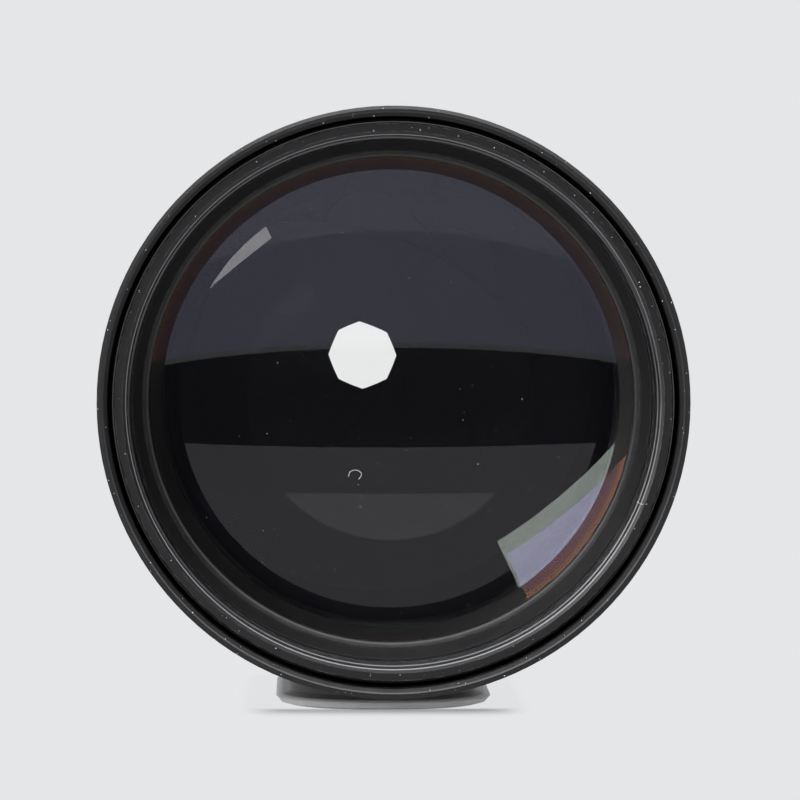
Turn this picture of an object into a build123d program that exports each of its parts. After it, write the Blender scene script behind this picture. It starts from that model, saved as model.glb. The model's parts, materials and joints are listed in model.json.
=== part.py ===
from build123d import *
import math
import os

os.makedirs("parts", exist_ok=True)

# A long telephoto lens that stands on its own tripod foot.
# Millimetres and degrees. +Z is up and the front glass looks along -Y.
# The origin is the mouth of the tripod socket, on the surface that the foot stands on.
# A station is a place on the optical axis, counted forward from the camera flange.

# Where the lens stands
socket_station = 85.0
foot_clearance = 1.7

# Fits and gaps
turn_fit = 0.08
seat_gap = 0.05
ring_gap = 0.3
edge_break = 0.35

# Sliding hood
hood_wall = 1.45
hood_setback = 1.9
hood_lip_outside = 0.5
hood_lip_inside = 0.65
hood_stop_width = 3.0
hood_gap = 0.7
hood_groove_count = 3
hood_groove_depth = 0.25
hood_groove_width = 0.8
hood_groove_pitch = 1.7
hood_groove_place = 5.0
felt_width = 6.0
felt_depth = 0.5

# Lens head
filter_step = 0.5
filter_ring_length = 8.5
filter_recess = 2.5
filter_thread_length = 6.1
thread_undercut = 0.5
thread_undercut_width = 0.9
head_wall = 2.5
head_step = 2.0
head_shelf = 3.4
head_travel = 24.0
spigot_length = 4.0

# Front glass, from the front: curve radii, middle thickness and air gaps
front_glass_recess = 16.0
first_front_curve = 165.0
first_rear_curve = -260.0
first_thickness = 12.0
first_gap = 1.1
second_front_curve = -215.0
second_rear_curve = 410.0
second_thickness = 4.0
second_gap = 2.4
third_step = 2.45
third_front_curve = 84.0
third_rear_curve = 570.0
third_thickness = 9.0
retainer_land = 0.7
retainer_height = 3.0
cell_wall = 1.5
cell_mouth_depth = 2.2
cell_tail = 10.5
cell_lip = 1.5
first_spacer_width = 2.9
second_spacer_lip = 0.6

# Helicoid and focusing ring
guide_wall = 2.0
helicoid_wall = 2.62
helicoid_clearance = 3.0
helicoid_flange = 2.0
sleeve_wall = 2.0
key_width = 6.0
key_length = 6.0
key_inset = 5.0
slot_end_gap = 1.0
focus_ring_length = 40.0
focus_wall = 3.82
grip_recess = 1.0
grip_rise = 1.3
grip_groove_depth = 0.9
grip_ribs = 60
grip_rows = 5
grip_row_gap = 0.9
scale_band = 8.4
front_band = 3.0
journal_overlap = 4.4
thrust_width = 1.6
thrust_step = 1.3
head_gap = 2.0

# Main barrel, index ring and collar journal
shoulder_step = 3.0
shoulder_width = 5.7
index_ring_width = 6.0
tail_gap = 1.5
tail_wall = 4.0
tail_step = 3.0
tail_inset = 3.6
bulkhead_land = 7.0
bulkhead_width = 4.0
baffle_place = 22.8
baffle_height = 10.8
baffle_length = 6.0
baffle_land = 2.0
baffle_sheet = 0.9

# Tripod collar, foot and lock
collar_width = 22.0
collar_wall = 4.2
lock_angle = -25.0
lock_stud_radius = 2.8
lock_boss_radius = 7.0
lock_boss_height = 2.9
lock_knob_radius = 7.5
lock_knob_height = 6.0
lock_knob_rim = 2.2
lock_knob_dish = 0.8
lock_knob_flutes = 12
lock_knob_flute_depth = 0.7
foot_length = 62.0
foot_forward = 43.0
foot_width = 34.8
foot_corner = 15.0
waist_inset = 2.3
shoulder_inset = 2.0
flare_inset = 0.8
sole_inset = 2.15
sole_curl = 1.3
sole_thickness = 1.0
flare_height = 1.25
waist_height = 2.3
shoulder_height = 1.5
plate_height = 6.4
plate_bevel = 1.2
neck_width = 23.0
neck_overhang = 1.0
neck_flare = 1.5
socket_radius = 2.55
socket_floor = 1.02
bush_radius = 5.0
bush_gap = 0.6
foot_screw_radius = 1.4
foot_screw_head = 2.5
foot_screw_head_depth = 2.2
foot_screw_gap = 1.2
sole_hole_gap = 0.4

# Iris
blade_count = 8
click_angle = 6.0
click_steps = 5
iris_inset = 26.2
smallest_opening = 2.36
blade_width = 6.8
blade_span = 104.0
blade_thickness = 0.15
blade_pitch = 0.3
blade_pin_radius = 0.8
blade_tab_radius = 1.6
blade_cover = 0.5
cam_pin_offset = 12.5
iris_phase = 7.5
cam_ring_thickness = 2.4
cam_ring_radius = 25.5
cam_ring_land = 4.5
cam_ring_step = 0.6
housing_wall = 1.3
housing_plate = 2.6
retainer_width = 1.8
retainer_step = 1.0

# Aperture ring and its link to the iris
aperture_wall = 4.1
aperture_grip_rise = 1.2
aperture_ring_length = 15.8
aperture_grip_length = 8.2
aperture_flutes = 36
aperture_flute_depth = 0.8
link_angle = 60.0
link_width_angle = 10.0
link_play_angle = 2.0
link_gap = 0.56
link_thickness = 1.5
link_foot_length = 4.0
link_foot_seat = 1.6
link_finger_seat = 1.2
click_angle_place = 220.0
click_inset = 4.0
click_notch = 0.7
spring_thickness = 0.4
spring_width = 3.0
spring_span = 34.0

# Rear barrel, rear glass and camera mount
rear_shell_wall = 2.2
rear_shell_swell = 3.0
rear_shell_land = 6.0
rear_shell_front_land = 4.0
rear_wall = 2.0
base_land = 4.7
base_floor = 2.5
mount_base_wall = 3.0
mount_base_length = 10.0
flange_step = 1.5
flange_thickness = 3.0
throat_radius = 22.0
bayonet_wall = 2.2
bayonet_length = 6.0
lug_count = 3
lug_height = 2.2
lug_thickness = 2.2
lug_span = 52.0
mount_screw_count = 5
mount_screw_radius = 0.9
mount_screw_head = 1.7
mount_screw_head_depth = 1.5
mount_screw_length = 8.0
rear_glass_radius = 17.0
rear_glass_depth = 5.1
rear_cell_wall = 2.5
rear_cell_flange = 2.4
rear_cell_tail = 3.5
rear_cell_bevel = 1.0
rear_cell_lip = 1.2
rear_retainer_height = 1.4
rear_front_curve = -70.0
rear_middle_curve = 90.0
rear_back_curve = -160.0
rear_first_thickness = 3.0
rear_second_thickness = 5.0
baffle_wall = 1.2
baffle_inset = 1.0

# Radii, from the iris outward to the aperture ring and the main barrel
pivot_circle = cam_ring_radius - cam_ring_land
iris_swing = click_angle * click_steps
blade_shift = 2 * pivot_circle * math.sin(math.radians(iris_swing / 2))
blade_open_radius = blade_shift + smallest_opening
iris_opening = blade_open_radius - blade_cover
housing_bore = cam_ring_radius + turn_fit
housing_radius = housing_bore + housing_wall
link_radius = housing_radius + link_gap
link_outer = link_radius + link_thickness
rear_tube_bore = link_outer + link_gap
aperture_bore = rear_tube_bore + rear_wall
aperture_radius = aperture_bore + aperture_wall
aperture_grip_radius = aperture_radius + aperture_grip_rise
barrel_tail_bore = rear_tube_bore + tail_gap
barrel_tail_radius = barrel_tail_bore + tail_wall
rear_shell_radius = barrel_tail_radius + rear_shell_wall
rear_shell_front_radius = rear_shell_radius + rear_shell_swell
bulkhead_bore = barrel_tail_bore - bulkhead_land
click_ball_radius = rear_wall / 2

# Radii of the journal, the helicoid threads and the focusing ring
journal_radius = barrel_tail_radius + tail_step
shoulder_radius = journal_radius + shoulder_step
thrust_radius = journal_radius + thrust_step
collar_bore = journal_radius + turn_fit
collar_radius = collar_bore + collar_wall
focus_bore = journal_radius + turn_fit
focus_radius = focus_bore + focus_wall
grip_radius = focus_radius + grip_rise
sleeve_bore = focus_bore - sleeve_wall
helicoid_radius = sleeve_bore - turn_fit
helicoid_bore = helicoid_radius - helicoid_wall
guide_radius = helicoid_bore - turn_fit
guide_bore = guide_radius - guide_wall
baffle_bore = guide_bore - baffle_height

# Radii of the lens head and the hood
head_bore = helicoid_radius + head_step
head_radius = head_bore + head_wall
spigot_radius = head_radius - head_wall / 2
hood_bore = head_radius + hood_gap
hood_radius = hood_bore + hood_wall
filter_bore = head_bore + filter_step
cell_bore = head_bore - cell_wall
front_glass_radius = cell_bore - seat_gap
retainer_bore = front_glass_radius - retainer_land
third_radius = front_glass_radius - third_step

# Radii of the camera mount
rear_base_bore = aperture_bore - base_land
mount_screw_circle = (rear_base_bore + aperture_bore) / 2
mount_base_radius = aperture_bore + mount_base_wall
flange_radius = aperture_bore + flange_step
bayonet_radius = throat_radius + bayonet_wall
lug_radius = bayonet_radius + lug_height

# Stations that follow, from the camera flange forward
base_front = flange_thickness + mount_base_length
aperture_back = base_front + ring_gap
aperture_grip_front = aperture_back + aperture_grip_length
aperture_front = aperture_back + aperture_ring_length
click_station = aperture_front - click_inset
link_foot_back = aperture_grip_front - link_foot_length
shell_back = aperture_front + ring_gap
barrel_tail_station = shell_back + tail_inset
collar_back = socket_station - collar_width / 2
collar_front = socket_station + collar_width / 2
shoulder_front = collar_back - ring_gap
shoulder_back = shoulder_front - shoulder_width
index_back = collar_front + ring_gap
index_front = index_back + index_ring_width
focus_back = index_front + ring_gap
focus_front = focus_back + focus_ring_length
grip_back = focus_back + scale_band
grip_front = focus_front - front_band
journal_front = focus_back + journal_overlap
thrust_front = journal_front + thrust_width
head_back = focus_front + head_gap
shelf_front = head_back + head_shelf
guide_front = shelf_front
key_station = guide_front - key_length / 2 - key_inset

# Stations of the iris and the rear glass
cam_front = shell_back + iris_inset
cam_back = cam_front - cam_ring_thickness
blade_back = cam_front + ring_gap
plate_back = blade_back + blade_pitch * blade_count + ring_gap
plate_front = plate_back + housing_plate
bulkhead_front = plate_front + bulkhead_width
baffle_station = bulkhead_front + baffle_place
retainer_front = cam_back - ring_gap
retainer_back = retainer_front - retainer_width
rear_glass_front = retainer_back - rear_glass_depth
rear_glass_back = rear_glass_front - rear_first_thickness - rear_second_thickness

# Stations of the front glass, the filter ring and the hood
cell_back = shelf_front + helicoid_flange
third_back = cell_back + cell_tail
third_front = third_back + third_thickness
second_back = third_front + second_gap
second_front = second_back + second_thickness
first_back = second_front + first_gap
glass_front = first_back + first_thickness
overall_length = glass_front + front_glass_recess
filter_front = overall_length - filter_recess
filter_back = filter_front - filter_ring_length
spigot_back = filter_back - spigot_length
felt_front = filter_back - spigot_length / 2
felt_back = felt_front - felt_width
hood_back = head_back + hood_setback

# Heights above the surface that the foot stands on
axis_height = plate_height + foot_clearance + grip_radius
saddle_height = axis_height - collar_radius
socket_depth = saddle_height - socket_floor

to_world = Location((0, socket_station, axis_height), (90, 0, 0))


def turned(*points, arc=360.0):
    """A solid of revolution about the optical axis, from (radius, station) points."""
    outline = make_face(Plane.XZ * Polyline(*points, close=True))
    return revolve(outline, Axis.Z, revolution_arc=arc)


def ring(bore, radius, back, front, bevel=0.0):
    """A plain ring whose two outer edges can be bevelled."""
    return turned(
        (bore, back),
        (radius - bevel, back),
        (radius, back + bevel),
        (radius, front - bevel),
        (radius - bevel, front),
        (bore, front),
    ) if bevel else turned((bore, back), (radius, back), (radius, front), (bore, front))


def sector(bore, radius, back, front, middle, span):
    """A piece of a ring, centred on one angle as seen from the front."""
    piece = turned((bore, back), (radius, back), (radius, front), (bore, front), arc=span)
    return Rot(0, 0, middle - span / 2) * piece


def surface(vertex, curve, radius):
    """Station of a lens surface at a radius. A positive curve bulges to the front."""
    depth = abs(curve) - math.sqrt(curve * curve - radius * radius)
    return vertex - math.copysign(depth, curve)


def lens_element(radius, front, front_curve, thickness, rear_curve):
    """A ground glass element with a cylindrical edge."""
    back = front - thickness
    half = radius / 2
    front_edge = (radius, surface(front, front_curve, radius))
    back_edge = (radius, surface(back, rear_curve, radius))
    front_arc = ThreePointArc((0, front), (half, surface(front, front_curve, half)), front_edge)
    back_arc = ThreePointArc(back_edge, (half, surface(back, rear_curve, half)), (0, back))
    outline = Wire([front_arc, Line(front_edge, back_edge), back_arc, Line((0, back), (0, front))])
    return revolve(make_face(Plane.XZ * outline), Axis.Z)


def peg(radius, back, front, place, angle):
    """A round peg along the optical axis."""
    return Rot(0, 0, angle) * Pos(place, 0, back) * extrude(Circle(radius), front - back)


def screw_hole(shank, head, head_depth, length):
    """The space of a screw whose head starts at the origin and whose shank points up."""
    return extrude(Circle(head), head_depth) + extrude(Circle(shank), length)


def cap_screw(shank, head, head_depth, length):
    """A socket head screw that fills its hole."""
    socket = extrude(RegularPolygon(head * 0.5, 6), head_depth * 0.6)
    return screw_hole(shank, head, head_depth, length) - socket


def fluted_disc(radius, depth, count, height):
    """A round grip with shallow flutes round its edge."""
    flute = radius * math.pi / count * 0.5
    profile = Circle(radius)
    profile -= PolarLocations(radius + flute - depth, count) * Circle(flute)
    return extrude(profile, height)


# Hood

def hood_tube():
    tube = turned(
        (hood_bore, hood_back),
        (hood_radius - edge_break, hood_back),
        (hood_radius, hood_back + edge_break),
        (hood_radius, overall_length - hood_lip_outside),
        (hood_radius - hood_lip_outside, overall_length),
        (hood_bore + hood_lip_inside, overall_length),
        (hood_bore, overall_length - hood_lip_inside),
    )
    for index in range(hood_groove_count):
        front = overall_length - hood_groove_place - index * hood_groove_pitch
        floor = hood_radius - hood_groove_depth
        tube -= ring(floor, hood_radius + 1, front - hood_groove_width, front)
    return tube


def hood_stop_ring():
    front = hood_back + hood_stop_width
    return ring(head_radius + turn_fit, hood_bore, hood_back, front)


# Lens head

def front_barrel():
    return turned(
        (helicoid_radius, head_back),
        (head_radius - edge_break, head_back),
        (head_radius, head_back + edge_break),
        (head_radius, felt_back),
        (head_radius - felt_depth, felt_back),
        (head_radius - felt_depth, felt_front),
        (head_radius, felt_front),
        (head_radius, filter_back),
        (spigot_radius, filter_back),
        (spigot_radius, spigot_back),
        (head_bore, spigot_back),
        (head_bore, shelf_front),
        (helicoid_radius, shelf_front),
    )


def hood_felt():
    return ring(head_radius - felt_depth, hood_bore - turn_fit, felt_back, felt_front)


def filter_ring():
    mouth = filter_bore + edge_break * 1.6
    thread_back = filter_front - edge_break - filter_thread_length
    undercut = filter_bore + thread_undercut
    undercut_back = thread_back - thread_undercut_width
    return turned(
        (mouth, filter_front),
        (head_radius - edge_break, filter_front),
        (head_radius, filter_front - edge_break),
        (head_radius, filter_back),
        (spigot_radius, filter_back),
        (spigot_radius, spigot_back),
        (head_bore, spigot_back),
        (head_bore, undercut_back),
        (undercut, undercut_back),
        (undercut, thread_back),
        (filter_bore, thread_back),
        (filter_bore, filter_front - edge_break),
    )


def first_element():
    return lens_element(
        front_glass_radius, glass_front, first_front_curve, first_thickness, first_rear_curve
    )


def second_element():
    return lens_element(
        front_glass_radius, second_front, second_front_curve, second_thickness, second_rear_curve
    )


def third_element():
    return lens_element(
        third_radius, third_front, third_front_curve, third_thickness, third_rear_curve
    )


def cell_front():
    return surface(glass_front, first_front_curve, retainer_bore) + retainer_height + edge_break


def front_retaining_ring():
    back = surface(glass_front, first_front_curve, retainer_bore)
    front = back + retainer_height
    return turned(
        (retainer_bore, back),
        (cell_bore, back),
        (cell_bore, front),
        (retainer_bore + edge_break * 2, front),
        (retainer_bore, front - edge_break * 2),
    )


def first_spacer():
    outer = front_glass_radius - seat_gap
    inner = outer - first_spacer_width
    return turned(
        (inner, surface(second_front, second_front_curve, inner)),
        (outer, surface(second_front, second_front_curve, outer)),
        (outer, surface(first_back, first_rear_curve, outer) - seat_gap),
        (inner, surface(first_back, first_rear_curve, inner)),
    )


def second_spacer_sizes():
    """Bore, radius, back and front of the second spacer, between the rims of two elements."""
    inner = third_radius - second_spacer_lip
    outer = front_glass_radius - seat_gap
    back = surface(third_front, third_front_curve, inner)
    front = surface(second_back, second_rear_curve, outer)
    return inner, outer, back, front


def second_spacer():
    return ring(*second_spacer_sizes())


def front_cell():
    step = second_spacer_sizes()[2]
    seat = surface(third_back, third_rear_curve, third_radius)
    lip = third_radius - cell_lip
    return turned(
        (lip, cell_back),
        (head_bore, cell_back),
        (head_bore, cell_front() + cell_mouth_depth),
        (cell_bore + edge_break / 2, cell_front()),
        (cell_bore, cell_front()),
        (cell_bore, step),
        (third_radius + seat_gap, step),
        (third_radius + seat_gap, seat),
        (lip, seat),
    )


def helicoid_tube():
    tube = turned(
        (helicoid_bore, journal_front + helicoid_clearance),
        (helicoid_radius, journal_front + helicoid_clearance),
        (helicoid_radius, shelf_front),
        (head_bore, shelf_front),
        (head_bore, cell_back),
        (helicoid_bore, cell_back),
    )
    slot_back = key_station - key_length / 2 - head_travel - slot_end_gap
    slot_front = key_station + key_length / 2 + slot_end_gap
    slot_width = key_width + 2 * turn_fit
    return tube - top_block(slot_width, helicoid_bore - 1, helicoid_radius + 1, slot_back, slot_front)


def top_block(width, low, high, back, front):
    """A block on top of the axis, between two heights above it."""
    size = (width, high - low, front - back)
    return Pos(0, (low + high) / 2, (back + front) / 2) * Box(*size)


# Main barrel

def main_barrel():
    barrel = turned(
        (barrel_tail_bore, barrel_tail_station),
        (barrel_tail_radius, barrel_tail_station),
        (barrel_tail_radius, shoulder_back),
        (journal_radius, shoulder_back),
        (journal_radius, journal_front),
        (guide_radius, journal_front),
        (guide_radius, guide_front),
        (guide_bore, guide_front),
        (guide_bore, bulkhead_front),
        (bulkhead_bore, bulkhead_front),
        (bulkhead_bore, plate_front),
        (barrel_tail_bore, plate_front),
    )
    return barrel - key_block()


def key_block():
    half = key_length / 2
    low = guide_radius - guide_wall / 2
    high = helicoid_radius - ring_gap
    return top_block(key_width, low, high, key_station - half, key_station + half)


def field_baffle():
    rim_back = baffle_station + baffle_length - baffle_land
    rim_front = baffle_station + baffle_length
    return turned(
        (baffle_bore, baffle_station),
        (guide_bore, rim_back),
        (guide_bore, rim_front),
        (guide_bore - baffle_sheet, rim_front),
        (baffle_bore, baffle_station + baffle_sheet),
    )


def index_ring():
    return ring(journal_radius, focus_radius, index_back, index_front, edge_break)


def thrust_ring():
    return ring(guide_radius, thrust_radius, journal_front, thrust_front)


# Focusing ring

def focus_ring():
    groove_back = journal_front - ring_gap
    groove_front = thrust_front + ring_gap
    groove = thrust_radius + ring_gap
    recess = focus_radius - grip_recess
    return turned(
        (focus_bore, focus_back),
        (focus_radius - edge_break, focus_back),
        (focus_radius, focus_back + edge_break),
        (focus_radius, grip_back),
        (recess, grip_back),
        (recess, grip_front),
        (focus_radius, grip_front),
        (focus_radius, focus_front - edge_break),
        (focus_radius - edge_break, focus_front),
        (focus_bore, focus_front),
        (focus_bore, groove_front),
        (groove, groove_front),
        (groove, groove_back),
        (focus_bore, groove_back),
    )


def focus_grip():
    """Rubber blocks in rows round the ring, on a thin sleeve."""
    sleeve = focus_radius - grip_recess
    floor = grip_radius - grip_groove_depth
    profile = Circle(grip_radius) - Circle(sleeve)
    groove_width = math.pi * grip_radius / grip_ribs
    groove = Rectangle(2 * grip_groove_depth, groove_width)
    profile -= PolarLocations(grip_radius, grip_ribs) * groove
    grip = Pos(0, 0, grip_back) * extrude(profile, grip_front - grip_back)
    row = (grip_front - grip_back + grip_row_gap) / grip_rows
    for index in range(1, grip_rows):
        front = grip_back + index * row
        grip -= ring(floor, grip_radius + 1, front - grip_row_gap, front)
    return grip


def helicoid_sleeve():
    return ring(sleeve_bore, focus_bore, thrust_front + 2 * ring_gap, focus_front)


# Iris

def blade_angle(index):
    return iris_phase + index * 360.0 / blade_count


def cam_pin_place():
    """Where the cam pin stands from the pivot, with the blade swung shut."""
    turn = math.radians(cam_pin_offset)
    open_place = Vector(pivot_circle * (math.cos(turn) - 1), -pivot_circle * math.sin(turn), 0)
    return open_place.rotate(Axis.Z, iris_swing)


def iris_blade(index):
    layer = blade_back + index * blade_pitch
    outer = blade_open_radius + blade_width
    middle = blade_open_radius + blade_width / 2
    crescent = Circle(outer) - Circle(blade_open_radius)
    start = -cam_pin_offset / 2
    wedge = make_face(fan(outer * 1.5, start, blade_span))
    crescent = (crescent & wedge) + Rot(0, 0, blade_span) * Pos(middle, 0) * Circle(blade_width / 2)
    turn = cam_pin_offset
    tail = Pos(pivot_circle, 0) * Circle(blade_tab_radius)
    tail += Rot(0, 0, -turn) * Pos(pivot_circle, 0) * Circle(blade_tab_radius)
    tail += SlotArc(CenterArc((0, 0), pivot_circle, -turn, turn), 2 * blade_tab_radius)
    tail += Pos((middle + pivot_circle) / 2, 0) * Rectangle(pivot_circle - middle, 2 * blade_tab_radius)
    sheet = Pos(0, 0, layer) * extrude(crescent + tail, blade_thickness)
    pivot_top = plate_back + housing_plate / 2
    pivot = peg(blade_pin_radius, layer, pivot_top, pivot_circle, 0)
    cam_bottom = cam_back + cam_ring_thickness / 4
    cam_pin = peg(blade_pin_radius, cam_bottom, layer + blade_thickness, pivot_circle, -turn)
    blade = sheet + pivot + cam_pin
    shut = Pos(pivot_circle, 0, 0) * Rot(0, 0, iris_swing) * Pos(-pivot_circle, 0, 0) * blade
    return Rot(0, 0, blade_angle(index)) * shut


def fan(radius, start, end):
    """The outline of a wide fan between two angles."""
    middle = (start + end) / 2
    corners = [(0, 0)]
    for angle in (start, middle, end):
        turn = math.radians(angle)
        corners.append((radius * math.cos(turn), radius * math.sin(turn)))
    return Polyline(*corners, close=True)


def iris_housing():
    rim_back = retainer_back - rear_cell_flange
    housing = turned(
        (iris_opening, plate_back),
        (housing_bore, plate_back),
        (housing_bore, rim_back),
        (housing_radius, rim_back),
        (housing_radius, plate_front),
        (iris_opening, plate_front),
    )
    hole = blade_pin_radius + turn_fit
    pocket = plate_back + housing_plate * 0.7
    for index in range(blade_count):
        housing -= peg(hole, plate_back - 1, pocket, pivot_circle, blade_angle(index))
    low = cam_back - ring_gap
    high = cam_front + ring_gap
    return housing - link_sweep(housing_bore - 1, housing_radius + 1, low, high)


def link_sweep(bore, radius, back, front):
    """The space that the link passes through as the aperture ring turns."""
    span = iris_swing + link_width_angle + 2 * link_play_angle
    return sector(bore, radius, back, front, link_angle - iris_swing / 2, span)


def iris_cam_ring():
    body = ring(iris_opening + cam_ring_step, cam_ring_radius, cam_back, cam_front)
    track = SlotArc(CenterArc((0, 0), pivot_circle, 0, iris_swing), 2 * (blade_pin_radius + turn_fit))
    shift = cam_pin_place()
    slot = Pos(shift.X, shift.Y, cam_back - 1) * extrude(track, cam_ring_thickness + 2)
    for index in range(blade_count):
        body -= Rot(0, 0, blade_angle(index)) * slot
    return body - link_finger()


def link_finger():
    seat = cam_ring_radius - link_finger_seat
    return sector(seat, link_radius, cam_back, cam_front, link_angle, link_width_angle)


def iris_link():
    foot = aperture_bore + link_foot_seat
    arm = sector(link_radius, link_outer, link_foot_back, cam_front, link_angle, link_width_angle)
    arm += sector(link_radius, foot, link_foot_back, aperture_grip_front, link_angle, link_width_angle)
    return arm + link_finger()


def iris_retainer():
    return ring(iris_opening + retainer_step, housing_bore, retainer_back, retainer_front)


# Aperture ring and click stop

def aperture_ring():
    bore = aperture_bore + turn_fit
    body = ring(bore, aperture_radius, aperture_back, aperture_front, edge_break)
    flutes = fluted_disc(
        aperture_grip_radius, aperture_flute_depth, aperture_flutes, aperture_grip_length
    )
    flutes -= extrude(Circle(aperture_radius - 1), aperture_grip_length)
    body += Pos(0, 0, aperture_back) * flutes
    notch = peg(click_notch, click_station - click_notch * 2, click_station + click_notch * 2, bore, 0)
    for step in range(click_steps + 1):
        body -= Rot(0, 0, click_angle_place + step * click_angle) * notch
    return body - iris_link()


def click_ball():
    place = aperture_bore - click_ball_radius
    return Rot(0, 0, click_angle_place) * Pos(place, 0, click_station) * Sphere(click_ball_radius)


def click_spring():
    inner = rear_tube_bore - spring_thickness
    back = click_station - spring_width / 2
    return sector(inner, rear_tube_bore, back, back + spring_width, click_angle_place, spring_span)


# Rear barrel and rear glass

def rear_barrel():
    base_top = base_front + base_floor
    barrel = turned(
        (rear_base_bore, flange_thickness),
        (aperture_bore, flange_thickness),
        (aperture_bore, shell_back),
        (rear_shell_radius - edge_break, shell_back),
        (rear_shell_radius, shell_back + edge_break),
        (rear_shell_radius, shell_back + rear_shell_land),
        (rear_shell_front_radius, shoulder_back - rear_shell_front_land),
        (rear_shell_front_radius, shoulder_back),
        (shoulder_radius - edge_break, shoulder_back),
        (shoulder_radius, shoulder_back + edge_break),
        (shoulder_radius, shoulder_front - edge_break),
        (shoulder_radius - edge_break, shoulder_front),
        (journal_radius, shoulder_front),
        (journal_radius, shoulder_back),
        (barrel_tail_radius, shoulder_back),
        (barrel_tail_radius, barrel_tail_station),
        (rear_tube_bore, barrel_tail_station),
        (rear_tube_bore, base_top),
        (rear_base_bore, base_top),
    )
    window_back = link_foot_back - ring_gap
    window_front = aperture_grip_front + ring_gap
    barrel -= link_sweep(rear_tube_bore - 1, aperture_bore + 1, window_back, window_front)
    hole = Rot(0, 0, click_angle_place) * Pos(rear_tube_bore - 1, 0, click_station) * Rot(0, 90, 0)
    barrel -= hole * extrude(Circle(click_ball_radius + turn_fit), rear_wall + 2)
    return barrel - mount_screws(screw_hole)


def rear_cell():
    outer = rear_glass_radius + rear_cell_wall
    bore = rear_glass_radius + seat_gap
    lip = rear_glass_radius - rear_cell_lip
    tail = rear_glass_back - rear_cell_tail
    return turned(
        (bore, retainer_back),
        (housing_bore, retainer_back),
        (housing_bore, retainer_back - rear_cell_flange),
        (outer, retainer_back - rear_cell_flange),
        (outer, tail + rear_cell_bevel),
        (outer - rear_cell_bevel, tail),
        (lip, tail),
        (lip, rear_seat()),
        (bore, rear_seat()),
    )


def rear_seat():
    return surface(rear_glass_back, rear_back_curve, rear_glass_radius - rear_cell_lip)


def rear_first_element():
    return lens_element(
        rear_glass_radius, rear_glass_front, rear_front_curve, rear_first_thickness, rear_middle_curve
    )


def rear_second_element():
    front = rear_glass_front - rear_first_thickness
    return lens_element(
        rear_glass_radius, front, rear_middle_curve, rear_second_thickness, rear_back_curve
    )


def rear_retaining_ring():
    inner = rear_glass_radius - rear_cell_lip
    back = surface(rear_glass_front, rear_front_curve, rear_glass_radius)
    return ring(inner, rear_glass_radius + seat_gap, back, back + rear_retainer_height)


# Camera mount

def mount_base():
    return ring(aperture_bore, mount_base_radius, flange_thickness, base_front, edge_break)


def mount_flange():
    plate = ring(throat_radius, flange_radius, 0, flange_thickness, edge_break)
    flange = plate + ring(throat_radius, bayonet_radius, -bayonet_length, 0)
    lug_front = lug_thickness - bayonet_length
    for index in range(lug_count):
        middle = 90.0 + index * 360.0 / lug_count
        flange += sector(throat_radius + 1, lug_radius, -bayonet_length, lug_front, middle, lug_span)
    return flange - mount_screws(screw_hole)


def mount_screws(form=cap_screw):
    """The screws of the camera flange, or their holes."""
    screws = Part()
    screw = form(mount_screw_radius, mount_screw_head, mount_screw_head_depth, mount_screw_length)
    for index in range(mount_screw_count):
        angle = 90.0 + index * 360.0 / mount_screw_count
        screws += Rot(0, 0, angle) * Pos(mount_screw_circle, 0, 0) * screw
    return screws


def rear_baffle():
    back = baffle_inset - bayonet_length
    inner = throat_radius - baffle_wall
    return turned(
        (inner, back),
        (throat_radius, back),
        (throat_radius, base_front),
        (rear_glass_radius, base_front),
        (rear_glass_radius, base_front - baffle_wall),
        (inner, base_front - baffle_wall),
    )


# Tripod collar and lock

def along_lock(start, end, radius):
    """A round bar pointing away from the axis at the lock's angle."""
    bar = extrude(Circle(radius), end - start)
    return Rot(0, 0, lock_angle) * Pos(start, 0, socket_station) * Rot(0, 90, 0) * bar


def lock_boss_top():
    return collar_radius + lock_boss_height


def tripod_collar():
    body = ring(collar_bore, collar_radius, collar_back, collar_front, edge_break)
    boss = along_lock(journal_radius, lock_boss_top(), lock_boss_radius)
    boss -= ring(0, collar_bore + 0.5, collar_back, collar_front)
    body += boss
    body -= along_lock(journal_radius - 1, lock_boss_top() + 1, lock_stud_radius + turn_fit)
    return to_world * body - foot_screws(screw_hole)


def lock_knob():
    start = lock_boss_top() + ring_gap
    knob = fluted_disc(lock_knob_radius, lock_knob_flute_depth, lock_knob_flutes, lock_knob_height)
    dish = extrude(Circle(lock_knob_radius - lock_knob_rim), lock_knob_dish)
    knob -= Pos(0, 0, lock_knob_height - lock_knob_dish) * dish
    knob -= extrude(Circle(lock_stud_radius), lock_knob_height / 2)
    return Rot(0, 0, lock_angle) * Pos(start, 0, socket_station) * Rot(0, 90, 0) * knob


def lock_stud():
    end = lock_boss_top() + ring_gap + lock_knob_height / 2
    return along_lock(collar_bore + turn_fit, end, lock_stud_radius)


# Foot, in the frame of the surface that it stands on

def foot_plan(inset, height):
    """Level outline of the foot at a height, set in by the same margin all round."""
    width = foot_width - 2 * inset
    length = foot_length - 2 * inset
    return Pos(0, foot_middle(), height) * RectangleRounded(width, length, foot_corner - inset)


def foot_middle():
    return foot_length / 2 - foot_forward


def stacked(*levels):
    """A solid drawn up through level outlines, one flat band at a time."""
    solid = Part()
    for low, high in zip(levels, levels[1:]):
        solid += loft([foot_plan(*low), foot_plan(*high)], ruled=True)
    return solid


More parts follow.
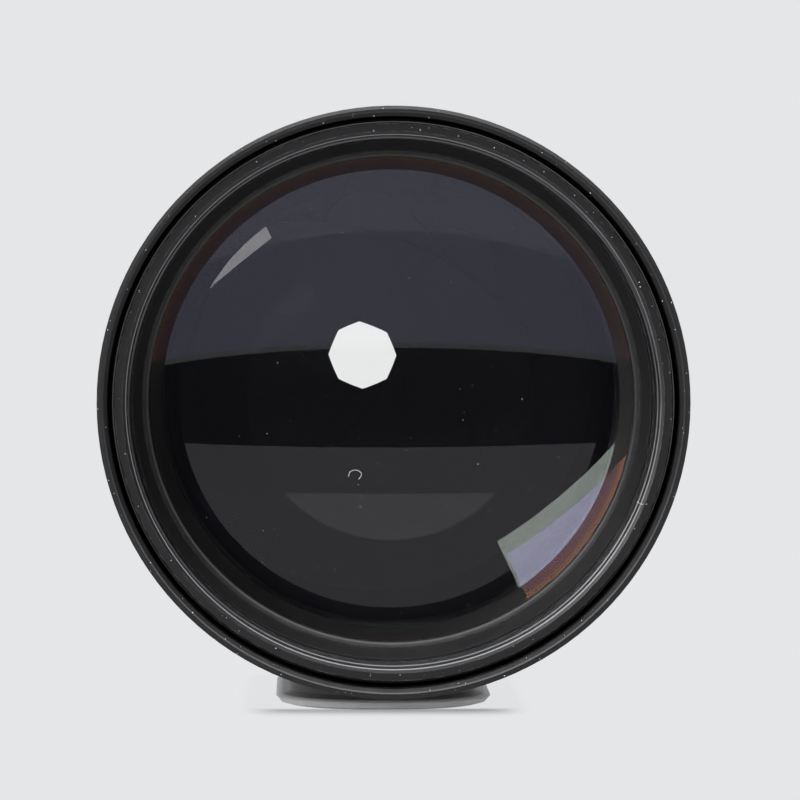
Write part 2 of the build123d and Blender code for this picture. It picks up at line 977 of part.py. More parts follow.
def tripod_foot():
    lip = flare_height - sole_thickness
    plate = stacked(
        (lip, sole_thickness),
        (0.0, flare_height),
        (flare_inset, flare_height + lip),
        (waist_inset, waist_height),
        (shoulder_inset, waist_height + shoulder_height),
        (shoulder_inset, plate_height - plate_bevel),
        (shoulder_inset + plate_bevel, plate_height),
    )
    corner = neck_width / 6
    neck_length = collar_width + 2 * neck_overhang
    neck_plan = RectangleRounded(neck_width, neck_length, corner)
    flare_width = neck_width + 2 * neck_flare
    flare_plan = RectangleRounded(flare_width, neck_length + 2 * neck_flare, corner + neck_flare)
    root = plate_height - edge_break
    body = plate + Pos(0, 0, root) * extrude(neck_plan, axis_height - root)
    flare_top = Pos(0, 0, plate_height + neck_flare) * neck_plan
    body += loft([Pos(0, 0, root) * flare_plan, flare_top], ruled=True)
    saddle = Pos(0, 0, axis_height) * Rot(90, 0, 0) * Cylinder(collar_radius, 2 * foot_length)
    body -= saddle
    body -= extrude(Circle(bush_radius), saddle_height)
    return body - foot_screws(screw_hole)


def sole_pad():
    pad = stacked(
        (sole_inset, 0.0),
        (sole_inset - sole_curl, sole_thickness / 3),
        (flare_height - sole_thickness, sole_thickness),
    )
    pad -= extrude(Circle(bush_radius + bush_gap), sole_thickness)
    for side in (-1, 1):
        hole = extrude(Circle(foot_screw_head + sole_hole_gap), sole_thickness)
        pad -= Pos(0, side * foot_screw_place(), 0) * hole
    return pad


def tripod_socket():
    bush = extrude(Circle(bush_radius), saddle_height)
    return bush - extrude(Circle(socket_radius), socket_depth)


def foot_screw_place():
    return bush_radius + foot_screw_gap + foot_screw_head


def foot_screws(form=cap_screw):
    """The two screws that hold the foot to the collar, or their holes."""
    screws = Part()
    length = saddle_height + collar_wall * 0.7 - sole_thickness
    screw = form(foot_screw_radius, foot_screw_head, foot_screw_head_depth, length)
    for side in (-1, 1):
        screws += Pos(0, side * foot_screw_place(), sole_thickness) * screw
    return screws


def save(name, shape):
    export_step(shape, f"parts/{name}.step")
    print(f"{name:24s} {shape.volume:10.1f} mm3")


save("hood_tube", to_world * hood_tube())
save("hood_stop_ring", to_world * hood_stop_ring())
save("hood_felt", to_world * hood_felt())
save("filter_ring", to_world * filter_ring())
save("front_barrel", to_world * front_barrel())
save("front_retaining_ring", to_world * front_retaining_ring())
save("first_element", to_world * first_element())
save("first_spacer", to_world * first_spacer())
save("second_element", to_world * second_element())
save("second_spacer", to_world * second_spacer())
save("third_element", to_world * third_element())
save("front_cell", to_world * front_cell())
save("helicoid_tube", to_world * helicoid_tube())
save("guide_key", to_world * key_block())
save("main_barrel", to_world * main_barrel())
save("field_baffle", to_world * field_baffle())
save("index_ring", to_world * index_ring())
save("thrust_ring", to_world * thrust_ring())
save("focus_ring", to_world * focus_ring())
save("focus_grip", to_world * focus_grip())
save("helicoid_sleeve", to_world * helicoid_sleeve())
for number in range(blade_count):
    save(f"iris_blade_{number + 1}", to_world * iris_blade(number))
save("iris_housing", to_world * iris_housing())
save("iris_cam_ring", to_world * iris_cam_ring())
save("iris_link", to_world * iris_link())
save("iris_retainer", to_world * iris_retainer())
save("aperture_ring", to_world * aperture_ring())
save("click_ball", to_world * click_ball())
save("click_spring", to_world * click_spring())
save("rear_barrel", to_world * rear_barrel())
save("rear_cell", to_world * rear_cell())
save("rear_first_element", to_world * rear_first_element())
save("rear_second_element", to_world * rear_second_element())
save("rear_retaining_ring", to_world * rear_retaining_ring())
save("rear_baffle", to_world * rear_baffle())
save("mount_base", to_world * mount_base())
save("mount_flange", to_world * mount_flange())
save("mount_screws", to_world * mount_screws())
save("tripod_collar", tripod_collar())
save("lock_knob", to_world * lock_knob())
save("lock_stud", to_world * lock_stud())
save("tripod_foot", tripod_foot())
save("sole_pad", sole_pad())
save("tripod_socket", tripod_socket())
save("foot_screws", foot_screws())
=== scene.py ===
# %% [markdown]
# # A long telephoto lens on its tripod foot
# The photograph looks straight into the front of the lens. The turned parts come from the packed
# model and stay as they are, apart from one inner glass that is drawn again. This script gives
# them their finishes, adds what is too fine for a turned solid, such as threads, engraved scales
# and dust, and sets up the light and the camera.

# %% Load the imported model
import json
import math
import random

import bmesh
import bpy
from mathutils import Matrix, Vector


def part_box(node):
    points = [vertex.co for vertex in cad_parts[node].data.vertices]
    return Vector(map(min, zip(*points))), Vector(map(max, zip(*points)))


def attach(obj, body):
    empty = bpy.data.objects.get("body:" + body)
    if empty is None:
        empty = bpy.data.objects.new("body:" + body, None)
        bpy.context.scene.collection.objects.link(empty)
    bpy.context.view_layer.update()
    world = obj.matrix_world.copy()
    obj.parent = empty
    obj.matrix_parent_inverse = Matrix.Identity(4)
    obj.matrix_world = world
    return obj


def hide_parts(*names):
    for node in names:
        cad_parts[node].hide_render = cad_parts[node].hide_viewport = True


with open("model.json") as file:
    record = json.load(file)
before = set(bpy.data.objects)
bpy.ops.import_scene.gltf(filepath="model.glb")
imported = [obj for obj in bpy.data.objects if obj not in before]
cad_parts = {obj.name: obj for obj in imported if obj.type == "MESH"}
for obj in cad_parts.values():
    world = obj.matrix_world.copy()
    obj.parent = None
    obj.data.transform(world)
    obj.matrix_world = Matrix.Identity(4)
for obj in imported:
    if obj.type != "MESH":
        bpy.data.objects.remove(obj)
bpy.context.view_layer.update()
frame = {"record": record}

MM = 0.001
MM_IN_METRE = 1000.0

# %% [markdown]
# Every place is worked out from the model's own boxes. The optical axis runs through the middle
# of the hood, and the hood's front rim is the plane that the photograph was measured in.

# %% Find the optical axis and the front rim
hood_low, hood_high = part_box("hood_tube")
axis_height = (hood_low.z + hood_high.z) / 2
rim_y = hood_low.y
rim_radius = (hood_high.z - hood_low.z) / 2
rim_centre = Vector((0, rim_y, axis_height))
print("axis height", round(axis_height, 4), "rim radius", round(rim_radius, 4))

# %% [markdown]
# The camera stands 0.7 m in front of the rim, a little above the axis and a little to its left.
# The iris and the foot sit behind the rim, so they shift against it as the camera moves off the
# axis, and that shift in the photograph gives both angles. The focal length follows from the
# rim's radius in the picture, which is square.

# %% Camera
PICTURE_WIDTH = 800
RIM_RADIUS_PIXELS = 297.2
RIM_PIXEL_X = 394.0
RIM_PIXEL_Y = 403.1
CAMERA_DISTANCE = 0.700
CAMERA_LEFT = math.radians(1.08)
CAMERA_UP = math.radians(1.65)
SENSOR_WIDTH = 36.0

pixels_per_radian = RIM_RADIUS_PIXELS / rim_radius * CAMERA_DISTANCE
camera_data = bpy.data.cameras.new("camera")
camera_data.sensor_width = SENSOR_WIDTH
camera_data.lens = SENSOR_WIDTH * pixels_per_radian / PICTURE_WIDTH
camera_data.clip_start = 0.05
camera_data.clip_end = 50.0
camera = bpy.data.objects.new("camera", camera_data)
bpy.context.scene.collection.objects.link(camera)
bpy.context.scene.camera = camera
toward_camera = Vector((
    -math.sin(CAMERA_LEFT) * math.cos(CAMERA_UP),
    -math.cos(CAMERA_LEFT) * math.cos(CAMERA_UP),
    math.sin(CAMERA_UP),
))
camera.location = rim_centre + toward_camera * CAMERA_DISTANCE
aim = (-toward_camera).to_track_quat("-Z", "Y")
turn_right = (PICTURE_WIDTH / 2 - RIM_PIXEL_X) / pixels_per_radian
turn_up = (RIM_PIXEL_Y - PICTURE_WIDTH / 2) / pixels_per_radian
nudge = Matrix.Rotation(-turn_right, 3, "Y") @ Matrix.Rotation(turn_up, 3, "X")
camera.rotation_mode = "QUATERNION"
camera.rotation_quaternion = aim @ nudge.to_quaternion()
print("focal length", round(camera_data.lens, 1), "mm")

# %% [markdown]
# The room and every finish are trees of nodes. Writing out each node takes several lines, so a
# few short helpers make the ones that come up most, and a finish then reads like its recipe.

# %% Helpers for shader nodes
def add_node(tree, kind, values=None, **settings):
    """A new node with some settings and input values."""
    item = tree.nodes.new(kind)
    for name, value in settings.items():
        setattr(item, name, value)
    for name, value in (values or {}).items():
        item.inputs[name].default_value = value
    return item


def feed(tree, socket, source):
    """Links another socket to an input, or sets a plain value on it."""
    if isinstance(source, bpy.types.NodeSocket):
        tree.links.new(source, socket)
    else:
        socket.default_value = source


def maths(tree, operation, first, second=None, clamp=False):
    """A math node on sockets or plain numbers; returns its output."""
    item = add_node(tree, "ShaderNodeMath", operation=operation, use_clamp=clamp)
    feed(tree, item.inputs[0], first)
    if second is not None:
        feed(tree, item.inputs[1], second)
    return item.outputs[0]


def blend_colour(tree, factor, first, second):
    """A mix of two colours, each a socket or a plain colour. In a Mix node the colours are inputs
    6 and 7 and output 2."""
    item = add_node(tree, "ShaderNodeMix", data_type="RGBA")
    feed(tree, item.inputs[0], factor)
    for index, source in ((6, first), (7, second)):
        if not isinstance(source, bpy.types.NodeSocket):
            source = (*source, 1.0)
        feed(tree, item.inputs[index], source)
    return item.outputs[2]


def smooth_step(tree, value, low, high):
    """0 at low, 1 at high and smooth between, also where low is the larger of the two."""
    item = add_node(tree, "ShaderNodeMapRange", interpolation_type="SMOOTHSTEP")
    for index, source in enumerate((value, low, high)):
        feed(tree, item.inputs[index], source)
    return item.outputs[0]


def split(tree, vector):
    """The outputs X, Y and Z of a vector socket."""
    parts = add_node(tree, "ShaderNodeSeparateXYZ")
    tree.links.new(vector, parts.inputs[0])
    return parts.outputs


# %% [markdown]
# The picture's background is one pale grey. Everything that the camera doesn't see directly is lit
# by a room: a bright backdrop behind the lens, a soft ceiling and a dark space around the camera.
# A picture of a real room could do that, but three tones by direction are enough, and they can be
# set one by one: the front glass mirrors the room, so they draw the grey fields and the dark band
# across it.

# %% Background and room
BACKGROUND = (0.783, 0.791, 0.807)
BACKDROP = (0.94, 0.95, 0.97)
BACKDROP_RISES = (-0.05, 0.15)
ROOM_DARK = (0.034, 0.034, 0.036)
CEILING = (0.52, 0.54, 0.58)
CEILING_RISES = (0.56, 0.62)

bpy.context.scene.view_settings.view_transform = "Standard"
# A new file can hold a camera and a lamp of its own.
for leftover in ("Camera", "Light"):
    if leftover in bpy.data.objects:
        bpy.data.objects.remove(bpy.data.objects[leftover])


def build_world():
    """The room as tones by direction, where Y points to the back and Z up."""
    world = bpy.data.worlds.new("room")
    bpy.context.scene.world = world
    world.use_nodes = True
    tree = world.node_tree
    tree.nodes.clear()
    direction = split(tree, add_node(tree, "ShaderNodeTexCoord").outputs["Generated"])
    behind = smooth_step(tree, direction["Y"], *BACKDROP_RISES)
    overhead = smooth_step(tree, direction["Z"], *CEILING_RISES)
    room = blend_colour(tree, overhead, ROOM_DARK, CEILING)
    room = blend_colour(tree, behind, room, BACKDROP)
    seen = add_node(tree, "ShaderNodeLightPath").outputs["Is Camera Ray"]
    shade = add_node(tree, "ShaderNodeBackground")
    tree.links.new(blend_colour(tree, seen, room, BACKGROUND), shade.inputs["Color"])
    end = add_node(tree, "ShaderNodeOutputWorld")
    tree.links.new(shade.outputs[0], end.inputs["Surface"])


build_world()
print("background", [round(255 * (1.055 * c ** (1 / 2.4) - 0.055)) for c in BACKGROUND])

# %% [markdown]
# The lens stands on a white table that reaches from well behind it to a front edge before it. The
# photograph shows nothing of it but a soft shadow at the foot. So the table takes shadows at the
# sole, and fades into the background a little way from it where the camera sees it. Glass and
# metal mirror a plain table without shadows, because only its tone and its edge show there.

# %% Table
TABLE_FRONT = 0.464
TABLE_BACK = 0.90
TABLE_HALF_WIDTH = 0.80
TABLE_WHITE = (0.80, 0.80, 0.81)
TABLE_IN_GLASS = (0.58, 0.58, 0.60)
TABLE_BLEND = 0.05
SHADOW_REACH = 0.012
SHADOW_FADE = 0.60
SHADOW_SIDEWAYS = 1.8
SHADOW_BESIDE = 0.92
SHADOW_BESIDE_RISES = (-0.001, 0.005)


def build_table():
    mesh = bpy.data.meshes.new("table")
    corners = [
        (-TABLE_HALF_WIDTH, -TABLE_FRONT, 0),
        (TABLE_HALF_WIDTH, -TABLE_FRONT, 0),
        (TABLE_HALF_WIDTH, TABLE_BACK, 0),
        (-TABLE_HALF_WIDTH, TABLE_BACK, 0),
    ]
    mesh.from_pydata(corners, [], [(0, 1, 2, 3)])
    table = bpy.data.objects.new("table", mesh)
    bpy.context.scene.collection.objects.link(table)
    return table


def faded_table(tree, place):
    """0 in the shadow at the sole and 1 where the table has faded away. The shadow is narrower
    sideways than forward, and nearly gone beside the foot."""
    low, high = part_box("sole_pad")
    squares = []
    for axis, near, far in (("X", low.x, high.x), ("Y", low.y, high.y)):
        middle = maths(tree, "SUBTRACT", place[axis], (near + far) / 2)
        beyond = maths(tree, "SUBTRACT", maths(tree, "ABSOLUTE", middle), (far - near) / 2)
        beyond = maths(tree, "MAXIMUM", beyond, 0.0)
        if axis == "X":
            beyond = maths(tree, "MULTIPLY", beyond, SHADOW_SIDEWAYS)
        squares.append(maths(tree, "MULTIPLY", beyond, beyond))
    away = maths(tree, "SQRT", maths(tree, "ADD", *squares))
    faded = smooth_step(tree, away, -SHADOW_REACH * SHADOW_FADE, SHADOW_REACH)
    beside = smooth_step(tree, place["Y"], *(low.y + step for step in SHADOW_BESIDE_RISES))
    return maths(tree, "MAXIMUM", faded, maths(tree, "MULTIPLY", beside, SHADOW_BESIDE))


def table_material():
    material = bpy.data.materials.new("white_table")
    material.use_nodes = True
    tree = material.node_tree
    tree.nodes.clear()
    place = split(tree, add_node(tree, "ShaderNodeTexCoord").outputs["Object"])
    faded = faded_table(tree, place)
    path = add_node(tree, "ShaderNodeLightPath").outputs
    seen = maths(tree, "MULTIPLY", faded, path["Is Camera Ray"])
    mirrored = maths(tree, "MAXIMUM", path["Is Glossy Ray"], path["Is Transmission Ray"])
    forward = maths(tree, "MULTIPLY", place["Y"], -1.0)
    before = smooth_step(tree, forward, -TABLE_BLEND, TABLE_BLEND)
    in_glass = blend_colour(tree, before, BACKDROP, TABLE_IN_GLASS)
    white = add_node(tree, "ShaderNodeBsdfPrincipled",
                     {"Base Color": (*TABLE_WHITE, 1.0), "Roughness": 0.35})
    plain = add_node(tree, "ShaderNodeEmission")
    tree.links.new(blend_colour(tree, mirrored, BACKGROUND, in_glass), plain.inputs["Color"])
    mix = add_node(tree, "ShaderNodeMixShader")
    fade = maths(tree, "MAXIMUM", seen, mirrored)
    for index, source in enumerate((fade, white.outputs[0], plain.outputs[0])):
        tree.links.new(source, mix.inputs[index])
    end = add_node(tree, "ShaderNodeOutputMaterial")
    tree.links.new(mix.outputs[0], end.inputs["Surface"])
    return material


table = build_table()
table.data.materials.append(table_material())
print("table", [round(v, 2) for v in table.dimensions])

# %% [markdown]
# Two softboxes stand in front of the lens, one on each side, with a third overhead. The mirror
# images on three glass faces fix where the left one's near corner is and how its edges run: the
# front face shows that corner as a sliver at the upper left, and the hollow faces behind it turn
# the corner over and show it large at the lower right. The right one lights the rim and isn't
# seen through the glass. A low lamp behind the camera lifts the dull surfaces, such as the foot's
# front and the dust, and isn't mirrored.

# %% Softboxes
SIDE_RADIANCE = 4.3
TOP_RADIANCE = 3.4
FILL_RADIANCE = 5.8


def softbox(name, corner, along, upward, width, height, radiance):
    """An area lamp from one corner, the directions of two edges and their lengths."""
    along = Vector(along).normalized()
    upward = Vector(upward)
    upward = (upward - along * upward.dot(along)).normalized()
    middle = Vector(corner) + along * width / 2 + upward * height / 2
    away = along.cross(upward)
    # A lamp shines away from its third axis, so the edges swap if that points at the lens.
    if away.dot(rim_centre - middle) > 0:
        along, upward, width, height = upward, along, height, width
        away = along.cross(upward)
    data = bpy.data.lights.new(name, "AREA")
    data.shape = "RECTANGLE"
    data.size = width
    data.size_y = height
    data.energy = radiance * width * height * math.pi
    lamp = bpy.data.objects.new(name, data)
    bpy.context.scene.collection.objects.link(lamp)
    turned = Matrix((along, upward, away)).transposed()
    lamp.matrix_world = Matrix.Translation(middle) @ turned.to_4x4()
    lamp.visible_camera = False
    return lamp


softbox("left_softbox", (-0.139, -0.625, 0.237), (-0.298, 0.743, -0.600),
        (-0.393, 0.477, 0.786), 0.36, 0.36, SIDE_RADIANCE)
right = softbox("right_softbox", (0.313, -0.633, 0.189), (0.886, -0.460, 0.060),
                (-0.222, -0.306, 0.926), 0.32, 0.32, SIDE_RADIANCE)
right.visible_transmission = False
softbox("top_softbox", (-0.55, -0.55, 0.90), (1, 0, 0), (0, 1, 0), 1.10, 0.90, TOP_RADIANCE)
fill = softbox("front_fill", (-0.45, -1.20, 0.0), (1, 0, 0), (0, 0, 1), 0.90, 0.45,
               FILL_RADIANCE)
fill.visible_glossy = False
fill.visible_transmission = False
print("lamps", len(bpy.data.lights))

# %% [markdown]
# The finishes share a few node groups. Each group works in millimetres round the optical axis and
# gives only values, masks and normals, so that one group can serve many finishes, each with its
# own amounts. The first group says where a point is: its radius, its angle and its station.

# %% Places round the axis
def start_group(name, inputs, outputs, vectors=()):
    """An empty node group with value inputs, and with value and vector outputs."""
    tree = bpy.data.node_groups.new(name, "ShaderNodeTree")
    for label, default in inputs.items():
        socket = tree.interface.new_socket(label, in_out="INPUT", socket_type="NodeSocketFloat")
        socket.default_value = default
    for labels, kind in ((outputs, "NodeSocketFloat"), (vectors, "NodeSocketVector")):
        for label in labels:
            tree.interface.new_socket(label, in_out="OUTPUT", socket_type=kind)
    return tree, tree.nodes.new("NodeGroupInput"), tree.nodes.new("NodeGroupOutput")


def use_group(tree, group, **values):
    """A group with some of its inputs set; an underscore stands for a space in a name."""
    item = add_node(tree, "ShaderNodeGroup", node_tree=group)
    for name, value in values.items():
        item.inputs[name.replace("_", " ")].default_value = value
    return item


def scaled(tree, vector, amount):
    """A vector socket times a number or a socket."""
    item = add_node(tree, "ShaderNodeVectorMath", operation="SCALE")
    tree.links.new(vector, item.inputs[0])
    feed(tree, item.inputs["Scale"], amount)
    return item.outputs[0]


def millimetres(tree):
    """Object coordinates in millimetres, as a vector socket."""
    return scaled(tree, add_node(tree, "ShaderNodeTexCoord").outputs["Object"], MM_IN_METRE)


def axis_places(tree):
    """Radius, angle and station of a point round the optical axis, in millimetres and radians."""
    place = split(tree, millimetres(tree))
    side = place["X"]
    rise = maths(tree, "SUBTRACT", place["Z"], axis_height * MM_IN_METRE)
    squares = [maths(tree, "MULTIPLY", length, length) for length in (side, rise)]
    radius = maths(tree, "SQRT", maths(tree, "ADD", *squares))
    return radius, maths(tree, "ARCTAN2", rise, side), place["Y"]


def axis_group():
    labels = ("Radius", "Angle", "Station")
    tree, _, end = start_group("around_axis", {}, labels)
    for label, place in zip(labels, axis_places(tree)):
        tree.links.new(place, end.inputs[label])
    return tree


AROUND_AXIS = axis_group()
print("group", AROUND_AXIS.name)

# %% [markdown]
# A lathe leaves fine rings on every turned face, and anodising or paint adds a speckle. Both could
# be modelled only at the cost of millions of faces, so both are heights for a bump. The rings are
# a noise that is stretched round the axis, which breaks them up along their length.

# %% Tool marks and grain
ARC_SCALE = 3.0
PATCHES_PER_MM = 0.11


def noise(tree, vector, scale, detail=2.0, roughness=0.5):
    item = add_node(tree, "ShaderNodeTexNoise", {"Detail": detail, "Roughness": roughness})
    tree.links.new(vector, item.inputs["Vector"])
    feed(tree, item.inputs["Scale"], scale)
    return item.outputs[0]


def marks_group():
    tree, start, end = start_group("turning_marks", {"Lines per mm": 7.0}, ("Height",))
    around_axis = use_group(tree, AROUND_AXIS).outputs
    lines = start.outputs["Lines per mm"]
    stretched = add_node(tree, "ShaderNodeCombineXYZ")
    for index, (label, scale) in enumerate((("Radius", lines), ("Angle", ARC_SCALE),
                                            ("Station", lines))):
        length = maths(tree, "MULTIPLY", around_axis[label], scale)
        tree.links.new(length, stretched.inputs[index])
    height = noise(tree, stretched.outputs[0], 1.0, detail=3.0, roughness=0.6)
    tree.links.new(height, end.inputs["Height"])
    return tree


def grain_group():
    tree, start, end = start_group("fine_grain", {"Grains per mm": 4.0}, ("Height", "Patches"))
    place = millimetres(tree)
    grains = start.outputs["Grains per mm"]
    tree.links.new(noise(tree, place, grains, detail=3.0, roughness=0.65), end.inputs["Height"])
    tree.links.new(noise(tree, place, PATCHES_PER_MM), end.inputs["Patches"])
    return tree


TURNING_MARKS = marks_group()
FINE_GRAIN = grain_group()
print("groups", TURNING_MARKS.name, FINE_GRAIN.name)

# %% [markdown]
# Handling rubs black anodising off the edges first. A Bevel node gives the normal that a rounded
# edge would have, and where it leans away from the face's own normal there is an edge. A noise
# leaves parts of each edge black. The same normal also makes a sharp edge catch the light.

# %% Worn edges
EDGE_LEANS = (0.01, 0.10)
BARE_SPOTS = (0.42, 0.62)
BARE_SPOTS_PER_MM = 0.9


def wear_group():
    tree, start, end = start_group("edge_wear", {"Width": 0.12, "Amount": 0.5}, ("Mask",),
                                   vectors=("Rounded",))
    soft = add_node(tree, "ShaderNodeBevel", samples=4)
    tree.links.new(maths(tree, "MULTIPLY", start.outputs["Width"], MM), soft.inputs["Radius"])
    plain = add_node(tree, "ShaderNodeNewGeometry")
    lean = add_node(tree, "ShaderNodeVectorMath", operation="DOT_PRODUCT")
    tree.links.new(soft.outputs[0], lean.inputs[0])
    tree.links.new(plain.outputs["Normal"], lean.inputs[1])
    edge = smooth_step(tree, maths(tree, "SUBTRACT", 1.0, lean.outputs["Value"]), *EDGE_LEANS)
    spots = noise(tree, millimetres(tree), BARE_SPOTS_PER_MM, detail=4.0, roughness=0.7)
    wear_and_highlight = maths(tree, "MULTIPLY", edge, smooth_step(tree, spots, *BARE_SPOTS))
    mask = maths(tree, "MULTIPLY", wear_and_highlight, start.outputs["Amount"], clamp=True)
    tree.links.new(mask, end.inputs["Mask"])
    tree.links.new(soft.outputs[0], end.inputs["Rounded"])
    return tree


EDGE_WEAR = wear_group()
print("group", EDGE_WEAR.name)

# %% [markdown]
# Dust lies as single specks, and as a thin bloom on faces that look up. The specks are the middles
# of cells, of which only a few are chosen by the cell's own random colour. The larger flakes are
# pieces of their own, further down.

# %% Dust in the finishes
SPECK_CELLS_PER_MM = 0.9
SPECK_RIM = (-0.085, -0.045)
SPECK_CHOSEN = (0.90, 0.93)
BLOOM_SLOPE = (0.2, 1.0)
BLOOM_CLOUDS = (0.35, 0.75)
BLOOM_CLOUDS_PER_MM = 0.35


def dust_group():
    tree, start, end = start_group("dust", {"Amount": 0.5}, ("Specks", "Bloom"))
    amount = start.outputs["Amount"]
    place = millimetres(tree)
    cells = add_node(tree, "ShaderNodeTexVoronoi", {"Scale": SPECK_CELLS_PER_MM})
    tree.links.new(place, cells.inputs["Vector"])
    chance = add_node(tree, "ShaderNodeSeparateColor")
    tree.links.new(cells.outputs["Color"], chance.inputs[0])
    near = maths(tree, "MULTIPLY", cells.outputs["Distance"], -1.0)
    near = smooth_step(tree, near, *SPECK_RIM)
    chosen = smooth_step(tree, chance.outputs[0], *SPECK_CHOSEN)
    specks = maths(tree, "MULTIPLY", near, chosen)
    tree.links.new(maths(tree, "MULTIPLY", specks, amount), end.inputs["Specks"])
    normal = add_node(tree, "ShaderNodeNewGeometry").outputs["Normal"]
    up = smooth_step(tree, split(tree, normal)["Z"], *BLOOM_SLOPE)
    cloud = noise(tree, place, BLOOM_CLOUDS_PER_MM, detail=5.0, roughness=0.7)
    cloud = smooth_step(tree, cloud, *BLOOM_CLOUDS)
    bloom = maths(tree, "MULTIPLY", maths(tree, "MULTIPLY", up, cloud), amount)
    tree.links.new(bloom, end.inputs["Bloom"])
    return tree


DUST = dust_group()
print("group", DUST.name)

# %% [markdown]
# A ground glass face is part of a sphere. The solid's faces meet at one point on the axis, where
# the mesh's own normals are rough, and a rough normal shows at once in clear glass. A finer mesh
# would only make the rough spot smaller, so the normal is worked out from the sphere's centre.
# The glass's edge, outside the ground faces, keeps the normals of the mesh.

# %% Exact normals of the ground faces
def blend_vector(tree, factor, first, second):
    """A mix of two vector sockets, which are inputs 4 and 5 and output 1 of a Mix node."""
    item = add_node(tree, "ShaderNodeMix", data_type="VECTOR")
    for index, source in ((0, factor), (4, first), (5, second)):
        tree.links.new(source, item.inputs[index])
    return item.outputs[1]


def ground_group():
    values = {"Front": 0.0, "Front curve": 100.0, "Rear": 0.0, "Rear curve": 100.0,
              "Edge": 30.0, "Inside": 0.0}
    tree, start, end = start_group("ground_faces", values, (), vectors=("Normal",))
    from_axis = use_group(tree, AROUND_AXIS).outputs["Radius"]
    place = millimetres(tree)
    given = add_node(tree, "ShaderNodeNewGeometry")
    faces = []
    for face, way in (("Front", 1.0), ("Rear", -1.0)):
        curve = start.outputs[f"{face} curve"]
        centre = add_node(tree, "ShaderNodeCombineXYZ")
        tree.links.new(maths(tree, "ADD", start.outputs[face], curve), centre.inputs[1])
        centre.inputs[2].default_value = axis_height * MM_IN_METRE
        out = add_node(tree, "ShaderNodeVectorMath", operation="SUBTRACT")
        tree.links.new(place, out.inputs[0])
        tree.links.new(centre.outputs[0], out.inputs[1])
        faces.append(scaled(tree, out.outputs[0], maths(tree, "DIVIDE", way, curve)))
    doubled = maths(tree, "MULTIPLY", start.outputs["Inside"], 2.0)
    flip = maths(tree, "SUBTRACT", 1.0, doubled)
    forward = maths(tree, "MULTIPLY", split(tree, given.outputs["True Normal"])["Y"], flip)
    facing = maths(tree, "LESS_THAN", forward, 0.0)
    ground = blend_vector(tree, facing, faces[1], faces[0])
    turned = add_node(tree, "ShaderNodeVectorTransform", vector_type="NORMAL",
                      convert_from="OBJECT", convert_to="WORLD")
    tree.links.new(ground, turned.inputs[0])
    seen = scaled(tree, turned.outputs[0], flip)
    beside = maths(tree, "GREATER_THAN", from_axis, start.outputs["Edge"])
    normal = blend_vector(tree, beside, seen, given.outputs["Normal"])
    tree.links.new(normal, end.inputs["Normal"])
    return tree


GROUND_FACES = ground_group()
print("groups in all", [group.name for group in bpy.data.node_groups])

# %% [markdown]
# Most of the lens is black metal that has been turned, anodised or painted, and handled. These
# metals share one recipe: a base colour that varies slowly, grain and tool marks in the bump,
# edges rubbed to a brighter tone, and dust. A few rings carry a painted highlight, a lighter and
# partly metallic ring with a radius and an amount at the top and at the bottom. The foot's lower
# edge is painted pale, a painted light from the white table below it.

# %% Black metal
DUST_COLOUR = (0.42, 0.41, 0.39)
# The pale colour of the painted light from the table on the foot's lower edge.
PAINTED_TABLE_LIGHT = (0.66, 0.66, 0.66)
DEEP_TONE = 0.75
LIGHT_TONE = 1.30
FILM = 0.10
# The next three numbers shape the painted highlight rings, and the last the edge of the painted
# table light.
UNDERSIDE = (0.1, -0.9)
RING_CORE = 0.4
HIGHLIGHT_METALLIC = 0.6
TABLE_LIGHT_LINE = (0.25, -0.15)


def start_material(name):
    material = bpy.data.materials.get(name) or bpy.data.materials.new(name)
    material.use_nodes = True
    tree = material.node_tree
    tree.nodes.clear()
    surface = add_node(tree, "ShaderNodeBsdfPrincipled")
    end = add_node(tree, "ShaderNodeOutputMaterial")
    tree.links.new(surface.outputs[0], end.inputs["Surface"])
    return material, tree, surface


def toned(colour, share):
    return tuple(share * part for part in colour)


def vary(tree, value, low, high):
    """A 0 to 1 value spread between two numbers, which are inputs 3 and 4 of a Map Range."""
    item = add_node(tree, "ShaderNodeMapRange")
    for index, source in ((0, value), (3, low), (4, high)):
        feed(tree, item.inputs[index], source)
    return item.outputs[0]


def bump(tree, surface, height, depth, previous=None):
    """Adds a bump of a depth in millimetres to a surface; returns its normal."""
    item = add_node(tree, "ShaderNodeBump", {"Distance": depth * MM})
    tree.links.new(height, item.inputs["Height"])
    if previous is not None:
        tree.links.new(previous, item.inputs["Normal"])
    tree.links.new(item.outputs[0], surface.inputs["Normal"])
    return item.outputs[0]


def painted_highlight_ring(tree, radius, reach, above, below):
    """A mask of a painted highlight ring, with its amounts at the top and at the bottom."""
    from_axis, turn = axis_places(tree)[:2]
    gap = maths(tree, "ABSOLUTE", maths(tree, "SUBTRACT", from_axis, radius))
    ring = smooth_step(tree, gap, reach, reach * RING_CORE)
    lower = smooth_step(tree, maths(tree, "SINE", turn), *UNDERSIDE)
    amount = maths(tree, "ADD", maths(tree, "MULTIPLY", lower, below - above), above)
    return maths(tree, "MULTIPLY", ring, amount)


